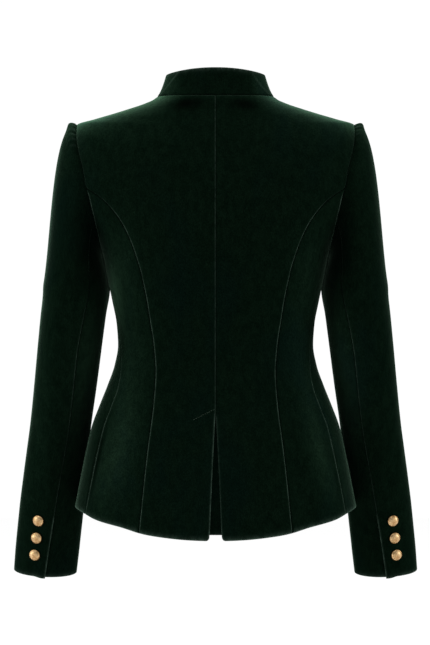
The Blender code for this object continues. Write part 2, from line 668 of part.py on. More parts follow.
def button(name, seat, normal, radius, material):
    """A domed metal button, turned about its own axis and laid on the cloth."""
    normal = unit(np.asarray(normal))
    side = unit(np.cross(normal, np.array((0.0, 0.0, 1.0))))
    up = np.cross(side, normal)
    angles = np.arange(BUTTON_SIDES) * 2 * np.pi / BUTTON_SIDES
    mesh = bmesh.new()
    turned = []
    for out, height in BUTTON_PROFILE:
        centre = seat + normal * height * radius
        if out == 0.0:
            turned.append([mesh.verts.new(centre)])
            continue
        spokes = [side * np.cos(a) + up * np.sin(a) for a in angles]
        turned.append([mesh.verts.new(centre + out * radius * spoke) for spoke in spokes])
    for lower, upper in zip(turned, turned[1:]):
        for i in range(BUTTON_SIDES):
            j = (i + 1) % BUTTON_SIDES
            if len(lower) == 1:
                mesh.faces.new((lower[0], upper[j], upper[i]))
            elif len(upper) == 1:
                mesh.faces.new((lower[i], lower[j], upper[0]))
            else:
                mesh.faces.new((lower[i], lower[j], upper[j], upper[i]))
    bmesh.ops.recalc_face_normals(mesh, faces=mesh.faces)
    data = bpy.data.meshes.new(name)
    mesh.to_mesh(data)
    mesh.free()
    data.shade_smooth()
    data.materials.append(material)
    part = bpy.data.objects.new(name, data)
    bpy.context.collection.objects.link(part)


def make_cuff_buttons(material):
    psi = np.radians(CUFF_BUTTON_ANGLE)
    length = (BICEP_Z - CUFF_Z) / (1.0 - CAP_SHARE)
    for number, height in enumerate(CUFF_BUTTON_HEIGHTS, start=1):
        down = 1.0 - height / length
        normal = sleeve_normal(np.array(psi), np.array(down))
        seat = sleeve(psi, down) + normal * BUTTON_SEAT
        mirror = np.array((-1.0, 1.0, 1.0))
        button(f"cuff_button_left_{number}", seat, normal, CUFF_BUTTON_RADIUS, material)
        button(f"cuff_button_right_{number}", seat * mirror, normal * mirror, CUFF_BUTTON_RADIUS, material)


def make_front_buttons(material):
    phi = np.array(-np.pi / 2)
    rim = FRONT_BUTTON_RADIUS * np.array((-1.0, 1.0))
    ring_front = [ring.front_z * MM for ring in BODY_RINGS]
    ring_side = [ring.side_z * MM for ring in BODY_RINGS]
    heights = np.linspace(FRONT_BUTTON_TOP_Z, FRONT_BUTTON_LOW_Z, FRONT_BUTTON_COUNT)
    for number, side_z in enumerate(np.interp(heights, ring_front, ring_side), start=1):
        normal = body_normal(phi, np.array(side_z))
        cloth = body(phi, side_z)
        hollow = max(0.0, float(np.max((body(phi, side_z + rim) - cloth) @ normal)))
        seat = cloth + normal * (WALL + LAP_CLEARANCE + hollow + FRONT_BUTTON_SEAT)
        button(f"front_button_{number}", seat, normal, FRONT_BUTTON_RADIUS, material)


def finish_material(name, colour, roughness, metallic):
    material = bpy.data.materials.new(name)
    material.use_nodes = True
    shader = material.node_tree.nodes["Principled BSDF"]
    shader.inputs["Base Color"].default_value = (*colour, 1.0)
    shader.inputs["Roughness"].default_value = roughness
    shader.inputs["Metallic"].default_value = metallic
    material.diffuse_color = (*colour, 1.0)
    return material


def main():
    for thing in list(bpy.data.objects):
        bpy.data.objects.remove(thing)
    velvet = finish_material("green_velvet", (0.006, 0.022, 0.012), 0.85, 0.0)
    gold = finish_material("antique_gold", (0.62, 0.42, 0.17), 0.38, 1.0)
    make_back(velvet)
    make_underlap(velvet)
    make_fronts(velvet)
    make_collar(velvet)
    make_sleeves(velvet)
    make_cuff_buttons(gold)
    make_front_buttons(gold)


main()
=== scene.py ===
"""The dressed model of a women's trachten jacket in dark green velvet, filled out as if worn.

Metres, +Z up. The jacket faces -Y and +X is the wearer's left. Every cloth piece is a
thin shell on the form of the solid that it stands for, with its seams, folds and soft
creases in its mesh. The camera looks at the back.
"""

import logging
from collections.abc import Callable, Sequence
from dataclasses import dataclass, field, fields
from enum import Enum

import bmesh
import bpy
import numpy as np
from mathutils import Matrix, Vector


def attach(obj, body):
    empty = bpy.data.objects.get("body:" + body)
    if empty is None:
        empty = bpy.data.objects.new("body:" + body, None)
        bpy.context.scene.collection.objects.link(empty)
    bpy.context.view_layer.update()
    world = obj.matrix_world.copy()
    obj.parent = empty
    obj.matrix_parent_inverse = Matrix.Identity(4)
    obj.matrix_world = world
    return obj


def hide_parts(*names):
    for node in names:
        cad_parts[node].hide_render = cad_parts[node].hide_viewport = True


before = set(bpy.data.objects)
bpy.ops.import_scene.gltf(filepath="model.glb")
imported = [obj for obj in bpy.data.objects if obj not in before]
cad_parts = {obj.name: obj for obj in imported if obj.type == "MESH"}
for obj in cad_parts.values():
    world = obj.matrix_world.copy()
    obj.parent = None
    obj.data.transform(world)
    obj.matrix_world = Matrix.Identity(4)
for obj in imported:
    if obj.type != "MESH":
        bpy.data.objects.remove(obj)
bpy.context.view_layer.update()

LOG = logging.getLogger("jacket")
MM = 0.001
TAU = 2.0 * np.pi
MIRROR = np.array((-1.0, 1.0, 1.0))
Array = np.ndarray
Line = Callable[[Array], Array]
Colour = tuple[float, float, float, float]
# Lowest and highest value of a pattern, then what they become
Span = tuple[float, float, float, float]
Socket = bpy.types.NodeSocket
Material = bpy.types.Material

# Landmarks of the body, at its side
HEM_Z = -574.6 * MM
VENT_TOP_Z = -436.0 * MM
UNDERARM_Z = -217.8 * MM
PRINCESS_TOP_Z = -131.4 * MM
FRONT_PRINCESS_TOP_Z = -124.0 * MM
SHOULDER_Z = -38.8 * MM
NECK_Z = 0.0
FLUTE_TOP_Z = -400.0 * MM
BICEP_Z = -250.0 * MM
CUFF_Z = -675.0 * MM
CAP_SHARE = 0.25

CLOTH_WALL = 1.7 * MM
SEAM_OVERLAP = 0.03 * MM
LAP_LIFT = 2.0 * MM
LAP_CLEARANCE = 0.9 * MM
LAP_RAMP = (32.0 * MM, 15.0 * MM)
PANEL_POINT_CUT = 0.6 * MM
BODY_PER_DEGREE = 2.45
CELL = 3.0 * MM
# Where the columns and rows next to an edge lie, so that it can be rounded
EDGE_OFFSETS = np.array((0.0, 0.25, 0.6, 1.1, 1.8, 3.0, 5.0)) * MM
EDGE_SHARE = 0.32
FEWEST_COLUMNS = 4
ROW_GAPS = (0.4 * MM, 0.2 * MM)
AREA_LIMIT = 0.999
ARMHOLE_ROWS = 84
SHOULDER_ROWS = 44
HALVINGS = 36
# How a crease fades at its two ends, as shares of its length
CREASE_END = 0.35
CREASE_START = 0.15


class Slot(Enum):
    """The record's material slots."""

    VELVET = "green_velvet"
    GOLD = "antique_gold"


class Side(Enum):
    """The wearer's two sides, with the sign of X."""

    LEFT = 1
    RIGHT = -1


@dataclass(frozen=True)
class Ring:
    """A ring round the body or collar, in millimetres."""

    side_z: float
    back_z: float
    front_z: float
    half_width: float
    back_depth: float
    front_depth: float
    centre_y: float
    square: float


@dataclass(frozen=True)
class Place:
    """A place of a seam line, in millimetres."""

    side_z: float
    offset: float


@dataclass(frozen=True)
class Section:
    """A section of the sleeve, in millimetres, with its tilts in degrees."""

    z: float
    x: float
    y: float
    half_width: float
    half_depth: float
    raised: float
    lean: float


@dataclass(frozen=True)
class SleeveSeam:
    """Where the sleeve's two seams lie round it, in degrees."""

    down: float
    hind: float
    fore: float


@dataclass(frozen=True)
class Flute:
    """A soft vertical flute of the skirt: place and spread in degrees, depth in millimetres."""

    angle: float
    spread: float
    depth: float


@dataclass(frozen=True)
class Crease:
    """A soft ridge, or with a negative depth a trough, between two places on the cloth.

    Places are a turn in degrees and a height in millimetres. Widths and depths are in
    millimetres, and bow bends the line sideways, in degrees of turn.
    """

    turn: float
    top: float
    turn_low: float
    low: float
    width: float
    depth: float
    bow: float = 0.0


@dataclass(frozen=True)
class Ridge:
    """A soft ridge of the collar: turn at its top and lean in degrees, and share of depth."""

    turn: float
    lean: float
    depth: float


@dataclass(frozen=True)
class PaintedLight:
    """A soft patch of painted light on the pile, or with a negative amount painted shade.

    The middle and the reach are in millimetres, and the patch leans by a share of X for
    each step of height.
    """

    x: float
    y: float
    z: float
    reach_x: float
    reach_y: float
    reach_z: float
    amount: float
    lean: float = 0.0


BODY_RINGS = (
    Ring(-574.6, -611.0, -590.0, 197.0, 128.0, 146.0, 14.0, 2.25),
    Ring(-510.0, -523.0, -515.0, 184.5, 114.0, 137.0, 11.0, 2.25),
    Ring(-461.8, -464.0, -463.0, 173.6, 101.0, 123.0, 8.0, 2.25),
    Ring(-433.6, -433.6, -433.6, 163.2, 94.0, 113.0, 5.0, 2.25),
    Ring(-405.0, -405.0, -405.0, 151.9, 87.0, 106.0, 3.0, 2.2),
    Ring(-377.0, -377.0, -377.0, 142.2, 83.0, 100.0, 1.0, 2.2),
    Ring(-349.0, -349.0, -349.0, 137.5, 82.0, 98.0, 0.0, 2.2),
    Ring(-320.0, -320.0, -320.0, 139.3, 85.0, 103.0, 0.0, 2.25),
    Ring(-290.0, -290.0, -290.0, 144.7, 91.5, 112.0, 0.0, 2.3),
    Ring(-250.0, -250.0, -250.0, 153.0, 101.0, 126.0, 0.0, 2.35),
    Ring(-217.8, -217.8, -217.8, 159.5, 106.5, 130.0, 0.0, 2.35),
    Ring(-198.0, -198.0, -199.0, 167.6, 108.5, 126.5, 0.0, 2.35),
    Ring(-174.0, -174.0, -177.0, 181.4, 109.5, 119.0, 0.0, 2.3),
    Ring(-149.0, -149.0, -156.0, 194.5, 109.0, 111.0, 0.0, 2.3),
    Ring(-121.0, -121.5, -136.0, 202.6, 106.5, 102.0, 0.0, 2.3),
    Ring(-86.0, -89.0, -114.0, 202.0, 99.5, 92.0, 0.0, 2.24),
    Ring(-62.0, -68.0, -99.0, 199.6, 93.0, 86.0, 0.0, 2.15),
    Ring(-46.0, -55.0, -88.5, 196.6, 88.0, 82.3, 0.0, 2.06),
    Ring(-38.8, -49.0, -83.5, 194.8, 85.6, 80.4, 0.0, 2.02),
    Ring(-31.7, -41.5, -77.0, 171.5, 82.0, 78.0, 0.0, 2.08),
    Ring(-24.7, -33.5, -70.5, 147.0, 78.0, 75.0, 0.0, 2.18),
    Ring(-17.6, -25.0, -63.5, 124.0, 73.5, 71.5, 0.0, 2.18),
    Ring(-10.6, -16.0, -56.0, 103.0, 68.5, 67.5, 0.0, 2.14),
    Ring(-3.5, -7.0, -48.5, 87.0, 63.0, 63.0, 0.0, 2.1),
    Ring(0.0, -2.7, -45.0, 82.5, 60.0, 61.0, 0.0, 2.1),
)
COLLAR_RINGS = (
    Ring(0.0, -2.7, -45.0, 82.5, 60.0, 61.0, 0.0, 2.1),
    Ring(5.0, 4.5, -39.5, 79.4, 58.8, 59.6, 0.0, 2.1),
    Ring(16.0, 18.5, -28.0, 74.6, 56.8, 57.2, 0.0, 2.1),
    Ring(31.0, 36.4, -13.5, 69.8, 55.0, 54.6, 0.0, 2.1),
)
BACK_PRINCESS = (
    Place(-574.6, 103.0), Place(-488.0, 92.8), Place(-431.0, 85.3), Place(-385.0, 82.5),
    Place(-354.0, 84.7), Place(-317.0, 90.0), Place(-282.0, 95.5), Place(-244.0, 104.0),
    Place(-215.0, 113.0), Place(-192.0, 122.6), Place(-174.0, 133.0), Place(-147.0, 156.5),
)
FRONT_PRINCESS = (
    Place(-574.6, 100.0), Place(-461.0, 84.0), Place(-349.0, 73.0), Place(-282.0, 84.0),
    Place(-228.0, 96.0), Place(-190.0, 109.0), Place(-160.0, 128.0), Place(-139.0, 150.0),
)
SIDE_SEAM = (
    Place(-574.6, 76.0), Place(-500.0, 66.0), Place(-415.0, 50.0), Place(-349.0, 26.0),
    Place(-282.0, 10.0), Place(-217.8, 0.0),
)
FLUTES = (
    Flute(27.0, 6.5, 3.6), Flute(39.0, 6.0, -3.2), Flute(52.0, 7.0, 2.0),
    Flute(-22.0, 8.0, -2.6), Flute(-40.0, 7.0, 3.0), Flute(-56.0, 7.0, -2.4),
)
SLEEVE_SECTIONS = (
    Section(-250.0, 197.4, 2.0, 43.2, 60.0, 0.0, 0.0),
    Section(-271.0, 197.2, 3.0, 45.8, 59.0, 0.0, 0.0),
    Section(-306.7, 200.4, 4.0, 45.8, 57.0, 0.0, 2.0),
    Section(-349.0, 205.2, 2.0, 45.2, 54.0, 1.0, 6.0),
    Section(-405.0, 212.0, -7.0, 44.2, 50.0, 2.0, 10.0),
    Section(-461.8, 219.8, -21.0, 43.3, 46.0, 2.0, 12.0),
    Section(-504.0, 225.6, -33.0, 44.0, 43.5, 3.0, 12.0),
    Section(-535.0, 229.4, -41.5, 45.0, 42.0, 3.0, 12.0),
    Section(-585.0, 235.4, -53.5, 46.1, 40.0, 3.0, 11.0),
    Section(-637.0, 241.5, -63.5, 46.0, 39.0, 3.0, 9.0),
    Section(-675.0, 245.6, -70.0, 45.3, 38.0, 3.0, 8.0),
)
SLEEVE_SEAMS = (
    SleeveSeam(0.0, 126.0, 236.0), SleeveSeam(0.25, 121.0, 234.0), SleeveSeam(0.45, 108.0, 230.0),
    SleeveSeam(0.60, 109.0, 228.0), SleeveSeam(0.80, 100.0, 226.0), SleeveSeam(1.0, 93.0, 225.0),
)

# Creases of the body: turns run from the wearer's left side (0) round the back (90)
BODY_CREASES = (
    Crease(38.0, -322.0, 24.0, -372.0, 9.0, -1.1, 2.0),
    Crease(58.0, -330.0, 44.0, -360.0, 8.0, 0.8, -2.0),
    Crease(20.0, -455.0, 21.0, -560.0, 5.0, -1.4, 1.0),
    Crease(33.0, -470.0, 31.0, -566.0, 6.0, 1.3, -1.0),
    Crease(50.0, -214.0, 30.0, -262.0, 9.0, -0.9, 3.0),
    Crease(144.0, -318.0, 158.0, -366.0, 10.0, -1.0, -2.0),
    Crease(124.0, -340.0, 140.0, -374.0, 8.0, 0.7, 2.0),
    Crease(159.0, -462.0, 157.0, -558.0, 5.5, -1.3, 1.0),
    Crease(147.0, -450.0, 149.0, -560.0, 6.0, 1.5, -1.0),
    Crease(132.0, -206.0, 150.0, -256.0, 10.0, -0.8, -3.0),
    Crease(78.0, -120.0, 74.0, -205.0, 16.0, 0.9, 2.0),
    Crease(101.0, -112.0, 106.0, -196.0, 18.0, 0.8, -2.0),
    Crease(84.0, -470.0, 82.0, -560.0, 9.0, 0.7, 0.0),
    Crease(98.0, -480.0, 100.0, -570.0, 10.0, 0.6, 0.0),
    Crease(-34.0, -318.0, -18.0, -360.0, 9.0, -1.1, -2.0),
    Crease(-60.0, -190.0, -40.0, -236.0, 12.0, -1.2, 3.0),
    Crease(-48.0, -420.0, -44.0, -540.0, 9.0, 1.2, 1.0),
    Crease(-70.0, -350.0, -66.0, -420.0, 10.0, -0.8, 0.0),
    Crease(214.0, -322.0, 200.0, -366.0, 9.0, -1.0, 2.0),
    Crease(238.0, -196.0, 222.0, -240.0, 12.0, -1.1, -3.0),
    Crease(230.0, -430.0, 226.0, -546.0, 9.0, 1.1, -1.0),
    Crease(250.0, -346.0, 247.0, -416.0, 10.0, -0.7, 0.0),
)
# Creases of each sleeve: turns run from outwards (0) round the back (90), heights are
# millimetres below the armhole seam along the sleeve
LEFT_SLEEVE_CREASES = (
    Crease(-163.0, 10.0, -162.0, -212.0, 9.5, 4.4, 0.0),
    Crease(70.0, -118.0, 112.0, -196.0, 8.0, -1.6, 6.0),
    Crease(98.0, -96.0, 126.0, -150.0, 7.0, 1.1, 4.0),
    Crease(48.0, -236.0, 92.0, -292.0, 9.0, -1.5, 5.0),
    Crease(62.0, -276.0, 104.0, -318.0, 8.0, 1.0, -4.0),
    Crease(-40.0, -262.0, -96.0, -300.0, 9.0, -2.0, 5.0),
    Crease(-30.0, -300.0, -92.0, -322.0, 8.0, 1.3, 4.0),
    Crease(-48.0, -338.0, -104.0, -330.0, 9.0, -1.6, -4.0),
    Crease(30.0, -350.0, 66.0, -424.0, 10.0, -1.0, 5.0),
    Crease(-72.0, -120.0, -110.0, -180.0, 10.0, -1.4, 5.0),
    Crease(78.0, -410.0, 88.0, -470.0, 8.0, 0.8, 2.0),
)
RIGHT_SLEEVE_CREASES = (
    Crease(-163.0, 10.0, -162.0, -212.0, 9.5, 4.4, 0.0),
    Crease(66.0, -128.0, 108.0, -210.0, 9.0, -1.4, -5.0),
    Crease(100.0, -104.0, 128.0, -164.0, 7.0, 1.0, -4.0),
    Crease(52.0, -252.0, 96.0, -300.0, 10.0, -1.3, 5.0),
    Crease(40.0, -310.0, 84.0, -352.0, 9.0, -1.1, -5.0),
    Crease(-44.0, -252.0, -100.0, -288.0, 9.0, -1.8, 5.0),
    Crease(-34.0, -292.0, -96.0, -318.0, 8.0, 1.2, -3.0),
    Crease(-52.0, -330.0, -106.0, -326.0, 10.0, -1.7, 4.0),
    Crease(26.0, -380.0, 60.0, -446.0, 10.0, 0.9, 4.0),
    Crease(-70.0, -130.0, -112.0, -190.0, 10.0, -1.3, -5.0),
)

# Patches of painted light and painted shade on the pile
COLLAR_PAINTED_LIGHT = (
    PaintedLight(66.0, 25.0, 16.0, 12.0, 40.0, 22.0, 1.6),
    PaintedLight(-64.0, 25.0, 16.0, 12.0, 40.0, 22.0, 1.4),
)
BODY_PAINTED_LIGHT = (
    PaintedLight(146.0, 30.0, -19.0, 27.0, 50.0, 38.0, 16.0, -2.78),
    PaintedLight(-146.0, 30.0, -19.0, 27.0, 50.0, 38.0, 12.0, 2.78),
    PaintedLight(144.0, 40.0, -22.0, 58.0, 55.0, 38.0, 4.6, -2.78),
    PaintedLight(-144.0, 40.0, -22.0, 58.0, 55.0, 38.0, 3.8, 2.78),
    PaintedLight(125.0, 50.0, -52.0, 60.0, 90.0, 20.0, 0.35),
    PaintedLight(-128.0, 50.0, -52.0, 60.0, 90.0, 20.0, 0.35),
    PaintedLight(50.0, 60.0, -10.0, 30.0, 60.0, 14.0, -1.6),
    PaintedLight(-50.0, 60.0, -10.0, 30.0, 60.0, 14.0, -1.3),
    PaintedLight(146.0, 15.0, -285.0, 11.0, 70.0, 42.0, 11.0, 0.1),
    PaintedLight(-149.0, 15.0, -285.0, 8.0, 70.0, 42.0, 2.5, -0.1),
    PaintedLight(126.0, 60.0, -350.0, 25.0, 70.0, 80.0, 0.75),
    PaintedLight(-124.0, 60.0, -352.0, 25.0, 70.0, 80.0, 0.60),
    PaintedLight(134.0, 70.0, -495.0, 21.0, 90.0, 75.0, 1.5, -0.18),
    PaintedLight(-146.0, 70.0, -490.0, 18.0, 90.0, 70.0, 1.2, 0.20),
    PaintedLight(163.0, 60.0, -505.0, 7.0, 50.0, 60.0, -0.75, -0.22),
    PaintedLight(-158.0, 60.0, -505.0, 7.0, 50.0, 60.0, -0.70, 0.22),
    PaintedLight(128.0, 60.0, -240.0, 20.0, 90.0, 50.0, 0.45),
    PaintedLight(-128.0, 60.0, -240.0, 20.0, 90.0, 50.0, 0.30),
)
SLEEVE_PAINTED_LIGHT = (
    PaintedLight(170.0, 30.0, -225.0, 18.0, 90.0, 50.0, -0.55),
    PaintedLight(-170.0, 30.0, -225.0, 18.0, 90.0, 50.0, -0.55),
    PaintedLight(203.0, 10.0, -41.0, 13.0, 60.0, 15.0, 3.6),
    PaintedLight(-203.0, 10.0, -41.0, 13.0, 60.0, 15.0, 2.4),
    PaintedLight(222.0, 10.0, -80.0, 26.0, 90.0, 40.0, 0.45),
    PaintedLight(-222.0, 10.0, -80.0, 26.0, 90.0, 40.0, 0.35),
    PaintedLight(176.0, 0.0, -400.0, 26.0, 90.0, 110.0, 1.6, -0.1),
    PaintedLight(-176.0, 0.0, -400.0, 26.0, 90.0, 110.0, 2.0, 0.1),
    PaintedLight(246.0, 0.0, -420.0, 18.0, 90.0, 150.0, 0.35, -0.1),
)
# How bright the centre back edge is along the seam, then along the vent: painted highlight, and below 0
# painted shade
CENTRE_SHINE = {Side.LEFT: (0.38, 0.66), Side.RIGHT: (-0.6, 0.20)}
COLLAR_RIDGES = (
    Ridge(38.0, -26.0, 1.5), Ridge(139.0, 24.0, 1.3), Ridge(64.0, 10.0, -0.3),
    Ridge(118.0, -8.0, -0.25), Ridge(-38.0, 16.0, 0.6), Ridge(222.0, -18.0, 0.7),
)


def smoothstep(value: Array) -> Array:
    """An even rise from 0 to 1."""
    value = np.clip(value, 0.0, 1.0)
    return value * value * (3.0 - 2.0 * value)


def unit(vectors: Array) -> Array:
    """Vectors with their lengths made 1."""
    return vectors / np.maximum(np.linalg.norm(vectors, axis=-1, keepdims=True), 1e-12)


def bell(value: Array, width: float) -> Array:
    """A soft hump that is 1 at 0."""
    return np.exp(-(value / width) ** 2)


def half_turned(degrees: Array) -> Array:
    """Turns brought to between -180 and 180 degrees."""
    return (degrees + 180.0) % 360.0 - 180.0


def placed(name: str, data: bpy.types.ID) -> bpy.types.Object:
    """A new object of the scene, at the origin."""
    made = bpy.data.objects.new(name, data)
    bpy.context.scene.collection.objects.link(made)
    return made


def give(mesh: bpy.types.Mesh, name: str, kind: str, values: Array) -> None:
    """Gives each point of a mesh its own value or vector."""
    key = "vector" if kind == "FLOAT_VECTOR" else "value"
    mesh.attributes.new(name, kind, "POINT").data.foreach_set(key, values.astype(np.float32).ravel())


class SmoothColumn:
    """A smooth line through the values of one column, with no overshoot between them."""

    def __init__(self, at: Sequence[float], values: Sequence[float]) -> None:
        """Keeps the points in order, and works out the slope at each.

        Args:
            at: Places along the table.
            values: The column's value at each place.
        """
        order = np.argsort(at)
        self.x = np.array(at, float)[order]
        self.y = np.array(values, float)[order]
        self.step = np.diff(self.x)
        rise = np.diff(self.y) / self.step
        self.slope = np.zeros_like(self.y)
        self.slope[0], self.slope[-1] = rise[0], rise[-1]
        before = 2.0 * self.step[1:] + self.step[:-1]
        after = self.step[1:] + 2.0 * self.step[:-1]
        same = rise[:-1] * rise[1:] > 0.0
        first, second = np.where(same, rise[:-1], 1.0), np.where(same, rise[1:], 1.0)
        self.slope[1:-1] = np.where(same, (before + after) / (before / first + after / second), 0.0)

    def __call__(self, value: Array) -> Array:
        """The column's value at each place."""
        value = np.clip(np.asarray(value, float), self.x[0], self.x[-1])
        i = np.clip(np.searchsorted(self.x, value, side="right") - 1, 0, len(self.x) - 2)
        t = (value - self.x[i]) / self.step[i]
        start = self.y[i] * (1 + 2 * t) * (1 - t) ** 2 + self.slope[i] * self.step[i] * t * (1 - t) ** 2
        end = self.y[i + 1] * t * t * (3 - 2 * t) + self.slope[i + 1] * self.step[i] * t * t * (t - 1)
        return start + end


class Table:
    """Reads every other column of a table of rows smoothly along one of them."""

    def __init__(self, rows: Sequence, at: str) -> None:
        """Makes a smooth column for each field.

        Args:
            rows: Rows of one dataclass.
            at: The field that gives the place along the table.
        """
        places = [getattr(row, at) for row in rows]
        names = [f.name for f in fields(rows[0]) if f.name != at]
        self.columns = {
            name: SmoothColumn(places, [getattr(row, name) for row in rows]) for name in names
        }

    def __call__(self, name: str, value: Array) -> Array:
        """One column's values."""
        return self.columns[name](value)


def crease_height(creases: Sequence[Crease], turn: Array, height: Array, per_degree: float) -> Array:
    """How far creases move the cloth out, in metres.

    Args:
        creases: The creases.
        turn: Turn of each point, in degrees.
        height: Height of each point, in millimetres.
        per_degree: Millimetres of cloth for a degree of turn.

    Returns:
        The distance along the normal for each point.
    """
    total = np.zeros(np.broadcast(turn, height).shape)
    for crease in creases:
        along = np.array(((crease.turn_low - crease.turn) * per_degree, crease.low - crease.top))
        length = float(np.hypot(*along))
        away = half_turned(turn - crease.turn)
        across, down = away * per_degree, height - crease.top
        share = (across * along[0] + down * along[1]) / length ** 2
        side = (across * along[1] - down * along[0]) / length
        side = side + crease.bow * per_degree * np.sin(np.pi * np.clip(share, 0.0, 1.0))
        ends = smoothstep(share / CREASE_END + CREASE_START)
        ends = ends * smoothstep((1.0 - share) / CREASE_END + CREASE_START)
        total = total + crease.depth * MM * bell(side, crease.width) * ends
    return total


@dataclass
class RingShape:
    """A smooth surface through rings, and points and normals on it."""

    rings: tuple[Ring, ...]
    flutes: tuple[Flute, ...] = ()
    bow: float = 2.5
    step: float = 0.05 * MM
    turn_step: float = 0.0005
    table: Table = field(init=False)

    def __post_init__(self) -> None:
        """Reads the rings."""
        self.table = Table(self.rings, "side_z")

    def point(self, phi: Array, side_z: Array, fluted: bool = True) -> Array:
        """Points of the surface.

        Args:
            phi: Turn round the body, 0 at the wearer's left side and a quarter turn at the back.
            side_z: Height of the ring at its side.
            fluted: Whether the skirt's flutes are added.

        Returns:
            The points, in metres.
        """
        phi, side_z = np.broadcast_arrays(np.asarray(phi, float), np.asarray(side_z, float))
        at = side_z / MM
        behind = np.sin(phi) >= 0.0
        depth = np.where(behind, self.table("back_depth", at), self.table("front_depth", at))
        level = np.where(behind, self.table("back_z", at), self.table("front_z", at))
        square = self.table("square", at)
        across, along = np.abs(np.cos(phi)), np.abs(np.sin(phi))
        reach = (across / self.table("half_width", at)) ** square + (along / depth) ** square
        reach = reach ** (-1.0 / square)
        z = at + (level - at) * np.clip(reach * along / depth, 0.0, 1.0) ** self.bow
        if fluted and self.flutes:
            fold = np.degrees(np.arctan2(np.sin(phi), across))
            ramp = smoothstep((FLUTE_TOP_Z - side_z) / (FLUTE_TOP_Z - HEM_Z))
            for flute in self.flutes:
                reach = reach + flute.depth * ramp * bell(fold - flute.angle, flute.spread)
        y = self.table("centre_y", at) + reach * np.sin(phi)
        return np.stack((reach * np.cos(phi), y, z), axis=-1) * MM

    def normal(self, phi: Array, side_z: Array) -> Array:
        """Outward normals of the surface."""
        low, high = (r.side_z * MM for r in (self.rings[0], self.rings[-1]))
        side_z = np.clip(side_z, min(low, high) + self.step, max(low, high) - self.step)
        around = self.point(phi + self.turn_step, side_z) - self.point(phi - self.turn_step, side_z)
        upward = self.point(phi, side_z + self.step) - self.point(phi, side_z - self.step)
        return unit(np.cross(around, upward))


